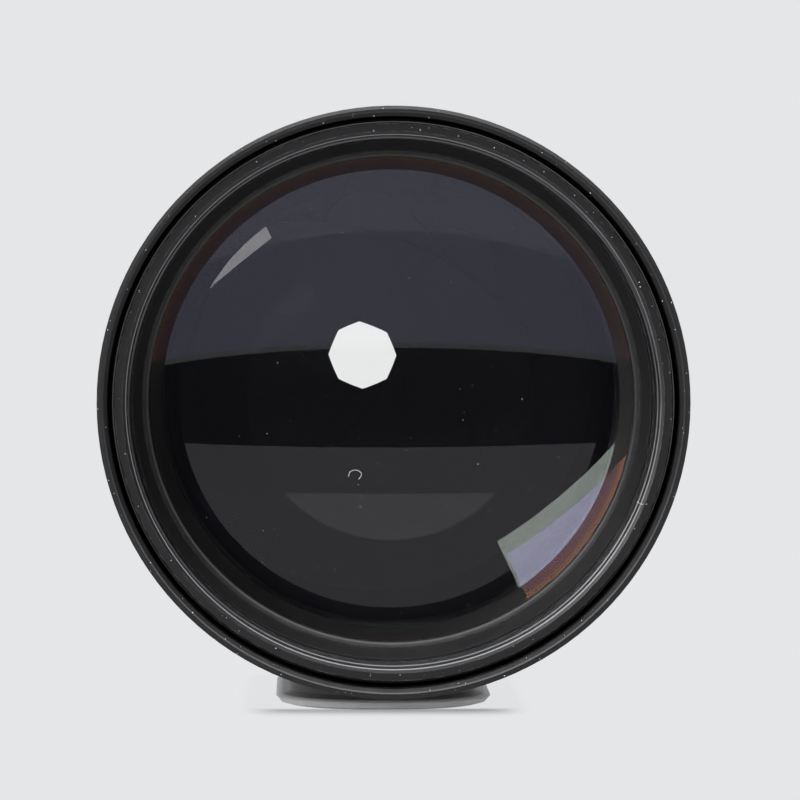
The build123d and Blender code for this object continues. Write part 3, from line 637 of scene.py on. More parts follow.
def dark_metal(name, colour, wear_and_highlight_colour, roughness, grain=4.0, grain_depth=0.010, lines=7.0,
               line_depth=0.004, wear=0.6, dust=0.5, wear_and_highlight=(), shine=0.5, table_light_below=None):
    """Each ring in the list of rings is a painted highlight: a radius, half a width, and the
    amounts at the top and at the bottom. The last argument is the height in millimetres under which
    the base colour turns pale, a painted light from the white table."""
    material, tree, surface = start_material(name)
    surface.inputs["Specular IOR Level"].default_value = shine
    speckle = use_group(tree, FINE_GRAIN, Grains_per_mm=grain).outputs
    marks = use_group(tree, TURNING_MARKS, Lines_per_mm=lines).outputs
    edge = use_group(tree, EDGE_WEAR, Amount=wear).outputs
    dusty = use_group(tree, DUST, Amount=dust).outputs
    patches = vary(tree, speckle["Patches"], 0.0, 1.0)
    base = blend_colour(tree, patches, toned(colour, DEEP_TONE), toned(colour, LIGHT_TONE))
    base = blend_colour(tree, edge["Mask"], base, wear_and_highlight_colour)
    highlight_mask = None
    # Painted highlights: lighter, partly metallic rings on the side where the light catches them.
    for measures in wear_and_highlight:
        ring = painted_highlight_ring(tree, *measures)
        base = blend_colour(tree, ring, base, wear_and_highlight_colour)
        highlight_mask = ring if highlight_mask is None else maths(tree, "MAXIMUM", highlight_mask, ring)
    if highlight_mask is not None:
        metallic = maths(tree, "MULTIPLY", highlight_mask, HIGHLIGHT_METALLIC)
        tree.links.new(metallic, surface.inputs["Metallic"])
    # Painted light from the table: below a height the base colour turns pale.
    if table_light_below is not None:
        height = split(tree, millimetres(tree))["Z"]
        low = smooth_step(tree, height, *(table_light_below + step for step in TABLE_LIGHT_LINE))
        low = maths(tree, "MULTIPLY", low, vary(tree, speckle["Height"], 0.75, 1.0))
        base = blend_colour(tree, low, base, PAINTED_TABLE_LIGHT)
    film = maths(tree, "MULTIPLY", dusty["Bloom"], FILM)
    base = blend_colour(tree, film, base, DUST_COLOUR)
    base = blend_colour(tree, dusty["Specks"], base, DUST_COLOUR)
    tree.links.new(base, surface.inputs["Base Color"])
    rough = vary(tree, speckle["Height"], roughness - 0.08, roughness + 0.10)
    rough = maths(tree, "SUBTRACT", rough, maths(tree, "MULTIPLY", edge["Mask"], 0.15))
    tree.links.new(rough, surface.inputs["Roughness"])
    normal = bump(tree, surface, marks["Height"], line_depth, edge["Rounded"])
    bump(tree, surface, speckle["Height"], grain_depth, normal)
    return material


ANODISED = (0.007, 0.007, 0.0075)
SATIN_BLACK = (0.009, 0.009, 0.0095)
MATT_BLACK = (0.006, 0.006, 0.006)
# Worn edges and the hood's painted highlight ring share this colour.
WORN_AND_HIGHLIGHT_METAL = (0.16, 0.16, 0.165)
# The ring given to the hood is a painted highlight.
BLACK_METALS = (
    dark_metal("hood_black", SATIN_BLACK, WORN_AND_HIGHLIGHT_METAL, 0.46, grain=4.5, grain_depth=0.016,
               wear=0.2, wear_and_highlight=((41.76, 0.14, 0.10, 0.50),), shine=0.3),
    dark_metal("barrel_black", ANODISED, WORN_AND_HIGHLIGHT_METAL, 0.36),
    dark_metal("inner_black", MATT_BLACK, WORN_AND_HIGHLIGHT_METAL, 0.50, wear=0.15, dust=0.2),
    dark_metal("knob_black", ANODISED, WORN_AND_HIGHLIGHT_METAL, 0.34, wear=0.8),
    # The foot's pale lower edge is painted light from the table.
    dark_metal("foot_enamel", (0.045, 0.045, 0.046), (0.22, 0.22, 0.22), 0.45, grain=2.5,
               grain_depth=0.03, line_depth=0.0, wear=0.7, dust=0.8, table_light_below=1.45),
    dark_metal("iris_metal", MATT_BLACK, (0.08, 0.08, 0.08), 0.55, wear=0.2, dust=0.0),
    dark_metal("blade_steel", (0.012, 0.012, 0.013), (0.10, 0.10, 0.11), 0.40, wear=0.4,
               dust=0.0),
    dark_metal("sole_grey", (0.66, 0.66, 0.66), (0.85, 0.85, 0.85), 0.60, grain=3.0,
               grain_depth=0.02, line_depth=0.0, wear=0.3, dust=1.0),
)
# The rings given to the filter ring and the bezel are painted highlights.
FILTER_RING_BLACK = dark_metal("filter_ring_black", ANODISED, (0.34, 0.34, 0.35), 0.38,
                               wear_and_highlight=((38.52, 0.16, 0.30, 0.80), (40.42, 0.10, 0.45, 0.0)))
BEZEL_BLACK = dark_metal("bezel_black", (0.014, 0.014, 0.0145), (0.22, 0.22, 0.23), 0.42,
                         wear=0.4, wear_and_highlight=((35.95, 0.20, 0.10, 0.35),))
print("black metals", len(BLACK_METALS) + 2)

# %% [markdown]
# The rest is brass in the helicoid, plated steel at the mount, screws, moulded rubber on the grip
# and felt in the hood. They are simpler than the black metals: rubber and felt have no tool
# marks, and bare metal has no rubbed edges.

# %% Bright metal, rubber and felt
BARE_METAL = (0.62, 0.61, 0.59)


def bright_metal(name, colour, roughness, lines=9.0, line_depth=0.006):
    """Bare or plated metal with fine tool marks."""
    material, tree, surface = start_material(name)
    surface.inputs["Metallic"].default_value = 1.0
    speckle = use_group(tree, FINE_GRAIN, Grains_per_mm=2.0).outputs
    marks = use_group(tree, TURNING_MARKS, Lines_per_mm=lines).outputs
    base = blend_colour(tree, speckle["Patches"], toned(colour, 0.72), colour)
    tree.links.new(base, surface.inputs["Base Color"])
    rough = vary(tree, marks["Height"], roughness - 0.08, roughness + 0.12)
    tree.links.new(rough, surface.inputs["Roughness"])
    bump(tree, surface, marks["Height"], line_depth)
    return material


def rubber(name, colour):
    """Moulded rubber, dull, with a fine stipple and dust in it."""
    material, tree, surface = start_material(name)
    speckle = use_group(tree, FINE_GRAIN, Grains_per_mm=6.0).outputs
    dusty = use_group(tree, DUST, Amount=0.8).outputs
    base = blend_colour(tree, speckle["Patches"], toned(colour, 0.7), colour)
    film = maths(tree, "MULTIPLY", dusty["Bloom"], 0.16)
    base = blend_colour(tree, film, base, DUST_COLOUR)
    base = blend_colour(tree, dusty["Specks"], base, DUST_COLOUR)
    tree.links.new(base, surface.inputs["Base Color"])
    tree.links.new(vary(tree, speckle["Height"], 0.55, 0.80), surface.inputs["Roughness"])
    bump(tree, surface, speckle["Height"], 0.03)
    return material


def felt(name):
    """Short black pile."""
    material, tree, surface = start_material(name)
    height = use_group(tree, FINE_GRAIN, Grains_per_mm=9.0).outputs["Height"]
    base = blend_colour(tree, height, (0.004, 0.004, 0.004), (0.03, 0.03, 0.03))
    tree.links.new(base, surface.inputs["Base Color"])
    surface.inputs["Roughness"].default_value = 0.95
    surface.inputs["Sheen Weight"].default_value = 0.3
    bump(tree, surface, height, 0.08)
    return material


OTHER_FINISHES = (
    rubber("grip_rubber", (0.022, 0.022, 0.022)),
    felt("hood_felt"),
    bright_metal("helicoid_brass", (0.72, 0.50, 0.22), 0.30),
    bright_metal("socket_brass", (0.66, 0.52, 0.30), 0.32),
    bright_metal("bright_mount", BARE_METAL, 0.26),
    bright_metal("screw_steel", (0.50, 0.50, 0.50), 0.30, lines=4.0),
)
print("other finishes", len(OTHER_FINISHES))

# %% [markdown]
# The glasses are real refracting glass with coated faces. A coating shows only in what a face
# mirrors, so it is a tint of the mirror image, one for the face that light meets first and one
# for the face behind it. The tints and their rings toward the edge were fitted to the coloured
# reflections in the photograph.

# %% Coated glass
ON_AXIS = 0.01 * MM
EDGE_LAND_MM = 0.4
RING_BLUR_MM = 0.2


def outer_radius(node):
    """Half the width of a part that is turned round the optical axis."""
    low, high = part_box(node)
    return (high.x - low.x) / 2


def vertex_places(node):
    """Where the two faces of a glass cross the axis, in millimetres."""
    points = [vertex.co for vertex in bpy.data.objects[node].data.vertices]
    on_axis = [co.y * MM_IN_METRE for co in points
               if math.hypot(co.x, co.z - axis_height) < ON_AXIS]
    return min(on_axis), max(on_axis)


def coated_glass(name, node, index, curves, outside, inside, rings):
    """Ground glass with its two curves in millimetres, positive where the centre lies behind the
    face. Outside tints the mirror of the face that light meets first, inside the other. A ring is
    a radius and the two tints beyond it."""
    material, tree, surface = start_material(name)
    surface.inputs["Base Color"].default_value = (1.0, 1.0, 1.0, 1.0)
    surface.inputs["Roughness"].default_value = 0.0
    surface.inputs["IOR"].default_value = index
    surface.inputs["Transmission Weight"].default_value = 1.0
    front, rear = vertex_places(node)
    faces = use_group(tree, GROUND_FACES, Front=front, Front_curve=curves[0], Rear=rear,
                      Rear_curve=curves[1], Edge=outer_radius(node) * MM_IN_METRE - EDGE_LAND_MM)
    side = add_node(tree, "ShaderNodeNewGeometry").outputs["Backfacing"]
    tree.links.new(side, faces.inputs["Inside"])
    tree.links.new(faces.outputs["Normal"], surface.inputs["Normal"])
    from_axis = axis_places(tree)[0]
    for radius, farther_outside, farther_inside in rings:
        beyond = smooth_step(tree, from_axis, radius - RING_BLUR_MM, radius + RING_BLUR_MM)
        outside = blend_colour(tree, beyond, outside, farther_outside)
        inside = blend_colour(tree, beyond, inside, farther_inside)
    tree.links.new(blend_colour(tree, side, outside, inside), surface.inputs["Specular Tint"])
    return material


CLEAR = (0.90, 0.90, 0.90)
VIOLET = (0.36, 0.24, 0.80)
MAROON = (0.44, 0.17, 0.22)
ORANGE = (0.80, 0.34, 0.18)
PALE_GREEN = (0.68, 0.75, 0.72)
PALE_GREY = (0.56, 0.56, 0.58)
PALE_BLUE = (0.60, 0.60, 0.66)
DIM_VIOLET = (0.04, 0.03, 0.05)
MUTE = (0.03, 0.03, 0.035)
GLASSES = {
    "first_element": (1.52, (165.0, -260.0), CLEAR, VIOLET,
                      ((33.5, CLEAR, MAROON), (34.9, CLEAR, ORANGE))),
    "second_element": (1.67, (-215.0, 410.0), PALE_GREEN, PALE_GREY,
                       ((20.6, PALE_GREEN, DIM_VIOLET),)),
    "third_element": (1.52, (84.0, 570.0), MUTE, PALE_BLUE, ()),
    "rear_first_element": (1.60, (-70.0, 90.0), MUTE, MUTE, ()),
    "rear_second_element": (1.60, (90.0, -160.0), MUTE, MUTE, ()),
}
print("glasses", list(GLASSES))

# %% [markdown]
# Each imported part names the finish that it wants. Two rings and the five glasses have a finish of
# their own, because the rings' painted highlights and the glasses' curves differ from part to part.

# %% Put the finishes on the parts
def finish(node, material):
    """Puts a material on a CAD node's slots."""
    for slot in bpy.data.objects[node].material_slots:
        slot.material = material


MATERIALS = {material.name: material for material in BLACK_METALS + OTHER_FINISHES}
for part in frame["record"]["subparts"]:
    if part["node"] not in GLASSES:
        finish(part["node"], MATERIALS[part["material_slot"]])
finish("filter_ring", FILTER_RING_BLACK)
finish("front_retaining_ring", BEZEL_BLACK)
for node, recipe in GLASSES.items():
    finish(node, coated_glass(f"{node}_glass", node, *recipe))

# %% [markdown]
# Fine pieces sit on the turned parts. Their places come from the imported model's boxes: a station
# along the axis, a radius from it, and an angle round it that starts at the right-hand side and
# has the top at 90 degrees. Each one rides on a body, so it follows when a ring is turned.

# %% Helpers for pieces
def around(radius, degrees, y):
    """A point round the optical axis, in metres."""
    turn = math.radians(degrees)
    return Vector((radius * math.cos(turn), y, axis_height + radius * math.sin(turn)))


def join_rows(work, first, second):
    """Faces between two closed rows of vertices."""
    for index in range(len(first)):
        after = (index + 1) % len(first)
        work.faces.new((first[index], second[index], second[after], first[after]))


def new_piece(name, mesh, body, material, smooth=False):
    """Links a mesh as a piece that rides on a body."""
    piece = bpy.data.objects.new(name, mesh)
    bpy.context.scene.collection.objects.link(piece)
    mesh.materials.append(material)
    for face in mesh.polygons:
        face.use_smooth = smooth
    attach(piece, body)
    return piece


def built_piece(name, build, body, material, smooth=False):
    """A piece whose mesh is filled by a function."""
    work = bmesh.new()
    build(work)
    bmesh.ops.recalc_face_normals(work, faces=work.faces)
    mesh = bpy.data.meshes.new(name)
    work.to_mesh(mesh)
    work.free()
    return new_piece(name, mesh, body, material, smooth)


# %% [markdown]
# The two rear glasses are cemented together, so their inner faces lie in one place and a ray
# can't tell them apart: half of the light was lost there. The second glass is drawn again with a
# hair of space before it, and the iris then shows the pale background as it should.

# %% Rear glass
CEMENT = 0.02 * MM
GLASS_RINGS = 24
GLASS_SIDES = 96


def ground_face(work, vertex, curve, radius):
    """One ground face: a vertex on the axis and rows of vertices out to the edge."""
    rows = [[work.verts.new((0, vertex, axis_height))]]
    for ring in range(1, GLASS_RINGS + 1):
        out = radius * ring / GLASS_RINGS
        y = vertex + curve - math.copysign(math.sqrt(curve ** 2 - out ** 2), curve)
        rows.append([work.verts.new(around(out, 360 * side / GLASS_SIDES, y))
                     for side in range(GLASS_SIDES)])
    for side in range(GLASS_SIDES):
        work.faces.new((rows[0][0], rows[1][side], rows[1][(side + 1) % GLASS_SIDES]))
    for first, second in zip(rows[1:], rows[2:]):
        join_rows(work, first, second)
    return rows[-1]


def build_rear_glass(work):
    front, rear = (place * MM for place in vertex_places("rear_second_element"))
    front_curve, rear_curve = (curve * MM for curve in GLASSES["rear_second_element"][1])
    radius = outer_radius("rear_second_element") - CEMENT
    first = ground_face(work, front + CEMENT, front_curve, radius)
    second = ground_face(work, rear, rear_curve, radius)
    join_rows(work, first, second)


rear_glass = built_piece("rear_second_glass", build_rear_glass, "barrel",
                         bpy.data.materials["rear_second_element_glass"], smooth=True)
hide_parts("rear_second_element")
print("rear glass faces", len(rear_glass.data.polygons))

# %% [markdown]
# The filter thread is a small triangular ridge that winds along the bore of the filter ring. The
# photograph shows it as a few bright lines just inside the ring's flat face. A row of rings would
# look much the same from the front, but a real helix also has the right start and end, so the
# ridge's section is carried round the bore and along it, and tapers off at both ends.

# %% Filter thread
FILTER_BORE = 38.5 * MM
THREAD_CREST = 37.95 * MM
THREAD_ROOT = FILTER_BORE + 0.05 * MM
THREAD_PITCH = 0.75 * MM
THREAD_START = 0.62 * MM
THREAD_LENGTH = 5.2 * MM
THREAD_STEPS = 180
TAPER_STEPS = 20
LEAST_RIDGE = 0.02
THREAD_METAL = bright_metal("thread_metal", (0.17, 0.17, 0.175), 0.30, lines=5.0)
filter_face_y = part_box("filter_ring")[0].y


def build_filter_thread(work):
    half = 0.46 * THREAD_PITCH
    flat = 0.07 * THREAD_PITCH
    count = int(THREAD_LENGTH / THREAD_PITCH * THREAD_STEPS)
    rows = []
    for step in range(count + 1):
        turns = step / THREAD_STEPS
        ridge = max(min(1.0, step / TAPER_STEPS, (count - step) / TAPER_STEPS), LEAST_RIDGE)
        crest = FILTER_BORE + (THREAD_CREST - FILTER_BORE) * ridge
        y = filter_face_y + THREAD_START + turns * THREAD_PITCH
        section = ((THREAD_ROOT, -half), (crest, -flat), (crest, flat), (THREAD_ROOT, half))
        rows.append([work.verts.new(around(r, 360 * turns, y + along)) for r, along in section])
    for first, second in zip(rows, rows[1:]):
        for corner in range(len(first)):
            after = (corner + 1) % len(first)
            work.faces.new((first[corner], first[after], second[after], second[corner]))
    work.faces.new(rows[0])
    work.faces.new(reversed(rows[-1]))


thread = built_piece("filter_thread", build_filter_thread, "head",
                     THREAD_METAL, smooth=True)
print("filter thread faces", len(thread.data.polygons))

# %% [markdown]
# The scales are engraved and filled with paint. An image could be wrapped round the rings, but it
# would blur close up, so the figures are meshes: each is a font curve, cut into narrow strips so
# that it can bend, and wrapped round its ring as a thin skin of paint.

# %% Engraved figures and lines
PAINT = 0.03 * MM
FONT_SIZE_PER_HEIGHT = 1.38
STRIP = 0.6 * MM


def engraving(name, colour):
    """Paint in an engraved mark, a little uneven."""
    material, tree, surface = start_material(name)
    height = use_group(tree, FINE_GRAIN, Grains_per_mm=5.0).outputs["Height"]
    base = blend_colour(tree, vary(tree, height, 0.0, 1.0), toned(colour, 0.7), colour)
    tree.links.new(base, surface.inputs["Base Color"])
    surface.inputs["Roughness"].default_value = 0.6
    bump(tree, surface, height, 0.01)
    return material


WHITE_PAINT = engraving("white_paint", (0.62, 0.62, 0.60))
ORANGE_PAINT = engraving("orange_paint", (0.60, 0.22, 0.03))
RED_PAINT = engraving("red_paint", (0.45, 0.02, 0.015))


def mesh_from_curve(name, data):
    """Turns a curve or a text into a mesh and removes the curve."""
    holder = bpy.data.objects.new(name, data)
    bpy.context.scene.collection.objects.link(holder)
    bpy.context.view_layer.update()
    graph = bpy.context.evaluated_depsgraph_get()
    mesh = bpy.data.meshes.new_from_object(holder.evaluated_get(graph))
    bpy.data.objects.remove(holder)
    bpy.data.curves.remove(data)
    return mesh


def figure_mesh(words, height):
    """A flat slab of text, centred, with its height given in metres."""
    data = bpy.data.curves.new("figure", "FONT")
    data.body = words
    data.align_x = "CENTER"
    data.align_y = "CENTER"
    data.size = height * FONT_SIZE_PER_HEIGHT
    data.extrude = PAINT / 2
    data.resolution_u = 4
    return mesh_from_curve("figure", data)


def wrap_on_ring(work, start, radius, degrees, y):
    """Bends the vertices from index start on round a ring; text reads from behind the lens."""
    for vert in list(work.verts)[start:]:
        turn = degrees + math.degrees(vert.co.x / radius)
        vert.co = around(radius + PAINT / 2 + vert.co.z, turn, y - vert.co.y)


def add_figure(work, words, height, radius, degrees, y):
    """Adds text that is wrapped round a ring to a bmesh."""
    mesh = figure_mesh(words, height)
    part = bmesh.new()
    part.from_mesh(mesh)
    bmesh.ops.remove_doubles(part, verts=part.verts, dist=1e-7)
    width = max((abs(v.co.x) for v in part.verts), default=0)
    for index in range(-int(width / STRIP), int(width / STRIP) + 1):
        everything = list(part.verts) + list(part.edges) + list(part.faces)
        bmesh.ops.bisect_plane(part, geom=everything, plane_co=(index * STRIP, 0, 0),
                               plane_no=(1, 0, 0))
    part.to_mesh(mesh)
    part.free()
    start = len(work.verts)
    work.from_mesh(mesh)
    bpy.data.meshes.remove(mesh)
    work.verts.ensure_lookup_table()
    wrap_on_ring(work, start, radius, degrees, y)


def add_line(work, radius, degrees, y_from, y_to, width):
    """Adds a thin painted line along the axis, on a ring."""
    half = math.degrees(width / 2 / radius)
    corners = []
    for lift in (0.0, PAINT):
        for y in (y_from, y_to):
            for side in (-half, half):
                corners.append(work.verts.new(around(radius + lift, degrees + side, y)))
    a, b, c, d, e, f, g, h = corners
    for loop in ((a, b, d, c), (e, g, h, f), (a, e, f, b),
                 (c, d, h, g), (a, c, g, e), (b, f, h, d)):
        work.faces.new(loop)


print("paints", WHITE_PAINT.name, ORANGE_PAINT.name, RED_PAINT.name)

# %% [markdown]
# The aperture ring stops at f/22 at rest, and each click opens it by 6 degrees. So the figures
# run from 22 at the index toward the lens's right-hand side.

# %% Aperture scale
APERTURES = ("22", "16", "11", "8", "5.6", "4.5")
CLICK = 6.0
APERTURE_BAND_RADIUS = 35.6 * MM
APERTURE_ROW = 4.6 * MM
APERTURE_LINE = (0.8 * MM, 2.6 * MM)
FIGURE_HEIGHT = 1.9 * MM
LINE_WIDTH = 0.3 * MM
aperture_ring_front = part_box("aperture_ring")[0].y


def build_aperture_figures(work):
    radius = APERTURE_BAND_RADIUS
    start, end = (aperture_ring_front + step for step in APERTURE_LINE)
    for step, words in enumerate(APERTURES):
        turn = 90 + step * CLICK
        row = aperture_ring_front + APERTURE_ROW
        add_figure(work, words, FIGURE_HEIGHT, radius, turn, row)
        add_line(work, radius, turn, start, end, LINE_WIDTH)


built_piece("aperture_figures", build_aperture_figures, "aperture_ring",
            WHITE_PAINT)
print("aperture figures", APERTURES)

# %% [markdown]
# The distance scale is worked out from the lens itself. The head moves 0.1 mm for each degree of
# the focusing ring, and a 300 mm lens that has moved out by e is focused at F*F/e + 2F + e.

# %% Distance scale
FOCAL_LENGTH = 300.0
MILLIMETRES_PER_DEGREE = 0.1
METRES = (100, 50, 30, 20, 15, 12, 10, 8, 7, 6, 5.5, 5, 4.5)
FEET = (300, 150, 100, 70, 50, 40, 30, 25, 22, 20, 18, 16, 15)
FOOT_IN_METRES = 0.3048
INFINITY_HEIGHT = 2.0 * MM
METRES_ROW = 2.9 * MM
FEET_ROW = 6.2 * MM
SCALE_LINE = (1.3 * MM, 0.5 * MM)
UNITS_TURN = 90 - 251
scale_radius = outer_radius("index_ring")
scale_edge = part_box("focus_ring")[1].y


def focus_angle(metres):
    """Degrees of the focusing ring for a distance in metres."""
    rest = metres * MM_IN_METRE - 2 * FOCAL_LENGTH
    moved_out = (rest - math.sqrt(rest * rest - 4 * FOCAL_LENGTH ** 2)) / 2
    return moved_out / MILLIMETRES_PER_DEGREE


def scale_figure(work, words, turn, row, height=FIGURE_HEIGHT):
    add_figure(work, words, height, scale_radius, turn, scale_edge - row)


def scale_line(work, turn):
    start, end = (scale_edge - step for step in SCALE_LINE)
    add_line(work, scale_radius, turn, start, end, LINE_WIDTH)


def build_metres(work):
    scale_figure(work, "∞", 90, METRES_ROW, INFINITY_HEIGHT)
    scale_line(work, 90)
    for metres in METRES:
        turn = 90 - focus_angle(metres)
        scale_figure(work, f"{metres:g}", turn, METRES_ROW)
        scale_line(work, turn)
    scale_figure(work, "m", UNITS_TURN, METRES_ROW)


def build_feet(work):
    for feet in FEET:
        scale_figure(work, f"{feet}", 90 - focus_angle(feet * FOOT_IN_METRES), FEET_ROW)
    scale_figure(work, "ft", UNITS_TURN, FEET_ROW)


built_piece("distance_metres", build_metres, "focus_ring", WHITE_PAINT)
built_piece("distance_feet", build_feet, "focus_ring", ORANGE_PAINT)
print("nearest distance at", round(focus_angle(METRES[-1]), 1), "degrees")

# %% [markdown]
# The index ring carries the mark that the scales are read against, with pairs of lines for the
# depth of field. A circle of 0.03 mm and a ratio of 0.1 mm a degree give 0.3 degrees for each
# step of the f-number. The collar and the barrel have lines that meet at every quarter turn.

# %% Index marks
DEPTH_PER_STOP = 0.03 / MILLIMETRES_PER_DEGREE
DEPTH_FIGURES = (22, 16, 11)
REAR_BARREL_RADIUS = 37.2 * MM
COLLAR_BAND_RADIUS = 42.28 * MM
MARK_WIDTH = 0.4 * MM
index_ring_front, index_ring_back = (corner.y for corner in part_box("index_ring"))
collar_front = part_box("tripod_collar")[0].y


def build_index(work):
    front = index_ring_front
    start = front + 0.4 * MM
    add_line(work, scale_radius, 90, start, front + 5.2 * MM, 0.35 * MM)
    for stop in DEPTH_FIGURES:
        for side in (-1, 1):
            turn = 90 + side * stop * DEPTH_PER_STOP
            add_line(work, scale_radius, turn, start, front + 1.9 * MM, 0.2 * MM)
    for side in (-1, 1):
        turn = 90 + side * (DEPTH_FIGURES[0] * DEPTH_PER_STOP + 0.6)
        add_figure(work, "22", 1.5 * MM, scale_radius, turn, front + 3.4 * MM)


def marks(name, body, radius, turns, y_from, y_to, paint):
    """A piece of plain lines at some angles round a ring."""
    def build(work):
        for turn in turns:
            add_line(work, radius, turn, y_from, y_to, MARK_WIDTH)

    return built_piece(name, build, body, paint)


built_piece("index_marks", build_index, "barrel", WHITE_PAINT)
marks("aperture_index", "barrel", REAR_BARREL_RADIUS, (90,),
      aperture_ring_front - 3.6 * MM, aperture_ring_front - 0.9 * MM, WHITE_PAINT)
marks("collar_marks", "foot", COLLAR_BAND_RADIUS, (0, 90, 180),
      collar_front + 1.2 * MM, collar_front + 4.2 * MM, ORANGE_PAINT)
marks("barrel_marks", "barrel", scale_radius, (0, 180, 270),
      index_ring_back - 2.4 * MM, index_ring_back - 0.5 * MM, ORANGE_PAINT)
print("depth marks for", DEPTH_FIGURES)

# %% [markdown]
# The dot that is lined up with the camera is a drop of red paint with a domed face. A flattened
# sphere would do on a flat face, but the mount is round, so the dome's rows are bent round it.

# %% Mount dot
MOUNT_DOT = 1.5 * MM
MOUNT_DOT_RISE = 0.45 * MM
DOT_SUNK = 0.05 * MM
DOT_SIDES = 24
DOT_RINGS = 5
mount_radius = outer_radius("mount_base")
mount_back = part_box("mount_base")[1].y


def build_mount_dot(work):
    y = mount_back - 4.0 * MM
    rows = []
    for ring in range(DOT_RINGS + 1):
        out = math.radians(90 * ring / DOT_RINGS)
        wide = MOUNT_DOT * math.sin(out)
        lift = mount_radius + MOUNT_DOT_RISE * math.cos(out) - DOT_SUNK
        row = []
        for step in range(DOT_SIDES if ring else 1):
            turn = math.radians(360 * step / DOT_SIDES)
            side = math.degrees(wide * math.cos(turn) / mount_radius)
            row.append(work.verts.new(around(lift, 90 + side, y + wide * math.sin(turn))))
        rows.append(row)
    for step in range(DOT_SIDES):
        work.faces.new((rows[0][0], rows[1][step], rows[1][(step + 1) % DOT_SIDES]))
    for first, second in zip(rows[1:], rows[2:]):
        join_rows(work, first, second)
    work.faces.new(rows[-1])


mount_dot = built_piece("mount_dot", build_mount_dot, "barrel", RED_PAINT,
                        smooth=True)
print("mount dot faces", len(mount_dot.data.polygons))

# %% [markdown]
# Slotted grub screws hold the rings together. Each is a small turned button with a saw cut,
# let into the surface so that only its face and the cut show. The cut could be a boolean, but two
# half discs with a space between them have cleaner edges.

# %% Set screws
SCREW_RADIUS = 0.85 * MM
SCREW_RISE = 0.05 * MM
SCREW_SUNK = -0.05 * MM
SCREW_CUT = 0.13 * MM
SCREW_SIDES = 32
FACE_SHARE = (0.94, 0.97)


def add_screw(work, radius, degrees, y, tilt):
    """A slotted screw head on a ring; tilt is the angle of the cut."""
    lean = math.radians(tilt)
    reach = math.sqrt(SCREW_RADIUS ** 2 - SCREW_CUT ** 2)
    corners = []
    for step in range(SCREW_SIDES):
        turn = math.radians(360 / SCREW_SIDES * (step + 0.5))
        corners.append((SCREW_RADIUS * math.cos(turn), SCREW_RADIUS * math.sin(turn)))

    def place(u, v, lift):
        x = u * math.cos(lean) - v * math.sin(lean)
        z = u * math.sin(lean) + v * math.cos(lean)
        return around(radius + lift, degrees + math.degrees(x / radius), y + z)

    for sign in (1, -1):
        arc = [corner for corner in corners if sign * corner[1] > SCREW_CUT][::sign]
        outline = [(reach, sign * SCREW_CUT), *arc, (-reach, sign * SCREW_CUT)]
        top = [work.verts.new(place(u * FACE_SHARE[0], v * FACE_SHARE[1], SCREW_RISE))
               for u, v in outline]
        foot = [work.verts.new(place(u, v, SCREW_SUNK)) for u, v in outline]
        work.faces.new(top)
        work.faces.new(list(reversed(foot)))
        join_rows(work, top, foot)


def screw_row(name, body, radius, angles, y, seed):
    """A row of set screws on one ring, each with its cut at a random angle."""
    chance = random.Random(seed)

    def build(work):
        for turn in angles:
            add_screw(work, radius, turn, y, chance.uniform(0, 180))

    return built_piece(name, build, body, MATERIALS["screw_steel"])


screw_rows = [
    screw_row("index_ring_screws", "barrel", scale_radius, (30, 150, 270),
              index_ring_back - 3.6 * MM, 3),
    screw_row("rear_barrel_screws", "barrel", REAR_BARREL_RADIUS, (10, 130, 250),
              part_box("rear_barrel")[1].y - 6.0 * MM, 5),
    screw_row("aperture_screws", "aperture_ring", APERTURE_BAND_RADIUS, (30, 170, 290),
              aperture_ring_front + 3.6 * MM, 7),
    screw_row("mount_base_screws", "barrel", mount_radius, (60, 180, 300),
              mount_back - 4.2 * MM, 9),
    screw_row("focus_ring_screws", "focus_ring", scale_radius, (50, 170, 290),
              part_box("focus_ring")[0].y + 1.5 * MM, 11),
]
print("screw rows", len(screw_rows))

# %% [markdown]
# A lens that has been stored for years is dusty. Specks in a finish have no sides that could
# catch the light, so the larger flakes are thin crumbs of their own. They lie on the faces that
# look forward: the glass, the filter ring and the hood's lip.

# %% Dust flakes
DUST_PAINT = engraving("dust_flakes", (0.74, 0.73, 0.70))
FLAKE_FRONT = -0.04 * MM
FLAKE_BACK = 0.01 * MM
GLASS_REACH = 33.0 * MM
FILTER_FACE_MM = (39.1, 40.1)
HOOD_LIP_MM = (41.15, 42.50)
LEAST_DEPTH = 0.041 * MM
glass_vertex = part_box("first_element")[0].y
glass_curve = GLASSES["first_element"][1][0] * MM


def glass_front(x, rise):
    """The y of the front glass at a place beside and above the axis."""
    return glass_vertex + glass_curve - math.sqrt(glass_curve ** 2 - (x * x + rise * rise))


def add_flake(work, chance, x, rise, y, size):
    """An irregular flat crumb that faces the front."""
    sides = chance.randint(5, 8)
    front = []
    back = []
    for step in range(sides):
        turn = math.radians(360 * step / sides + chance.uniform(-18, 18))
        reach = size * chance.uniform(0.45, 1.0)
        side = x + reach * math.cos(turn)
        up = axis_height + rise + reach * math.sin(turn)
        front.append(work.verts.new((side, y + FLAKE_FRONT, up)))
        back.append(work.verts.new((side, y + FLAKE_BACK, up)))
    work.faces.new(front)
    work.faces.new(list(reversed(back)))
    join_rows(work, front, back)


def flakes(name, body, count, seed, place, sizes):
    """Scatters crumbs with a function that gives the place of each one."""
    chance = random.Random(seed)

    def build(work):
        for _ in range(count):
            x, rise, y = place(chance)
            add_flake(work, chance, x, rise, y, chance.uniform(*sizes))

    return built_piece(name, build, body, DUST_PAINT)


def at_random_angle(chance, out):
    """How far beside and above the axis a point is that lies at some distance from it."""
    turn = chance.uniform(0, 2 * math.pi)
    return out * math.cos(turn), out * math.sin(turn)


def on_glass(chance):
    x, rise = at_random_angle(chance, GLASS_REACH * math.sqrt(chance.random()))
    return x, rise, glass_front(x, rise)


def on_filter_face(chance):
    x, rise = at_random_angle(chance, chance.uniform(*FILTER_FACE_MM) * MM)
    return x, rise, filter_face_y


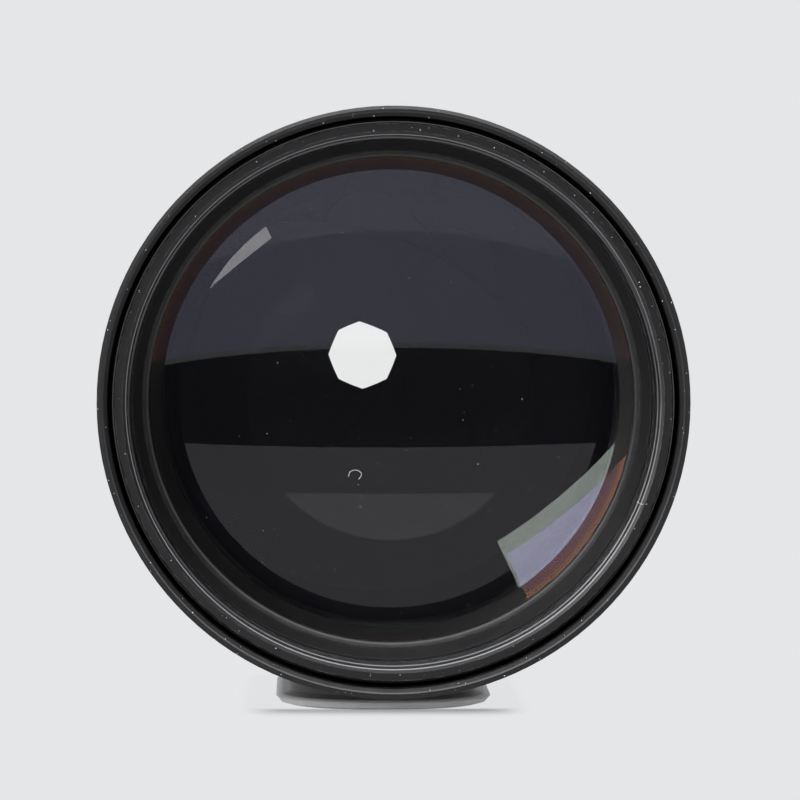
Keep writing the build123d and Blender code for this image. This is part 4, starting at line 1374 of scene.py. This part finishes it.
def on_hood_lip(chance):
    """A place on the hood's lip, found by a ray from the front, and far enough behind the rim for
    the crumb to stay inside the model's box."""
    x, rise = at_random_angle(chance, chance.uniform(*HOOD_LIP_MM) * MM)
    ahead = Vector((x, rim_y - 10 * MM, axis_height + rise))
    place = bpy.data.objects["hood_tube"].ray_cast(ahead, Vector((0, 1, 0)))[1]
    return x, rise, max(place.y, rim_y + LEAST_DEPTH)


dusted = [
    flakes("glass_dust", "head", 80, 21, on_glass, (0.03 * MM, 0.09 * MM)),
    flakes("filter_ring_dust", "head", 46, 22, on_filter_face, (0.04 * MM, 0.12 * MM)),
    flakes("hood_dust", "hood", 90, 23, on_hood_lip, (0.03 * MM, 0.11 * MM)),
]
print("dust faces", [len(piece.data.polygons) for piece in dusted])

# %% [markdown]
# Two fibres cling to the lens: one is curled on the glass and one hangs over the filter ring's
# edge into the thread. Each is a curve through a few points with a round section, turned into a
# mesh.

# %% Fibres
FIBRE_RADIUS = 0.035 * MM
CURL_POINTS = 7
CURL_HEIGHT = 0.75
CURL_LIFT = 0.05 * MM


def fibre(name, body, points):
    """A thin hair through a few points."""
    data = bpy.data.curves.new(name, "CURVE")
    data.dimensions = "3D"
    data.bevel_depth = FIBRE_RADIUS
    data.bevel_resolution = 2
    line = data.splines.new("NURBS")
    line.points.add(len(points) - 1)
    for point, place in zip(line.points, points):
        point.co = (*place, 1.0)
    line.order_u = 3
    line.use_endpoint_u = True
    mesh = mesh_from_curve(name, data)
    mesh.materials.clear()
    return new_piece(name, mesh, body, DUST_PAINT, smooth=True)


def curl(x, rise, size, start, sweep):
    """Points of a curl that lies on the front glass; start and sweep are in degrees."""
    points = []
    for step in range(CURL_POINTS):
        turn = math.radians(start + sweep * step / (CURL_POINTS - 1))
        side = x + size * math.cos(turn)
        up = rise + CURL_HEIGHT * size * math.sin(turn)
        points.append((side, glass_front(side, up) - CURL_LIFT, axis_height + up))
    return points


fibre("glass_fibre", "head", curl(-5.4 * MM, -11.0 * MM, 1.0 * MM, 200, -260))
fibre("thread_fibre", "head", [
    around(39.40 * MM, -21.8, filter_face_y - 0.03 * MM),
    around(38.70 * MM, -22.6, filter_face_y + 0.15 * MM),
    around(37.95 * MM, -22.2, filter_face_y + 0.62 * MM),
])
print("fibres made")
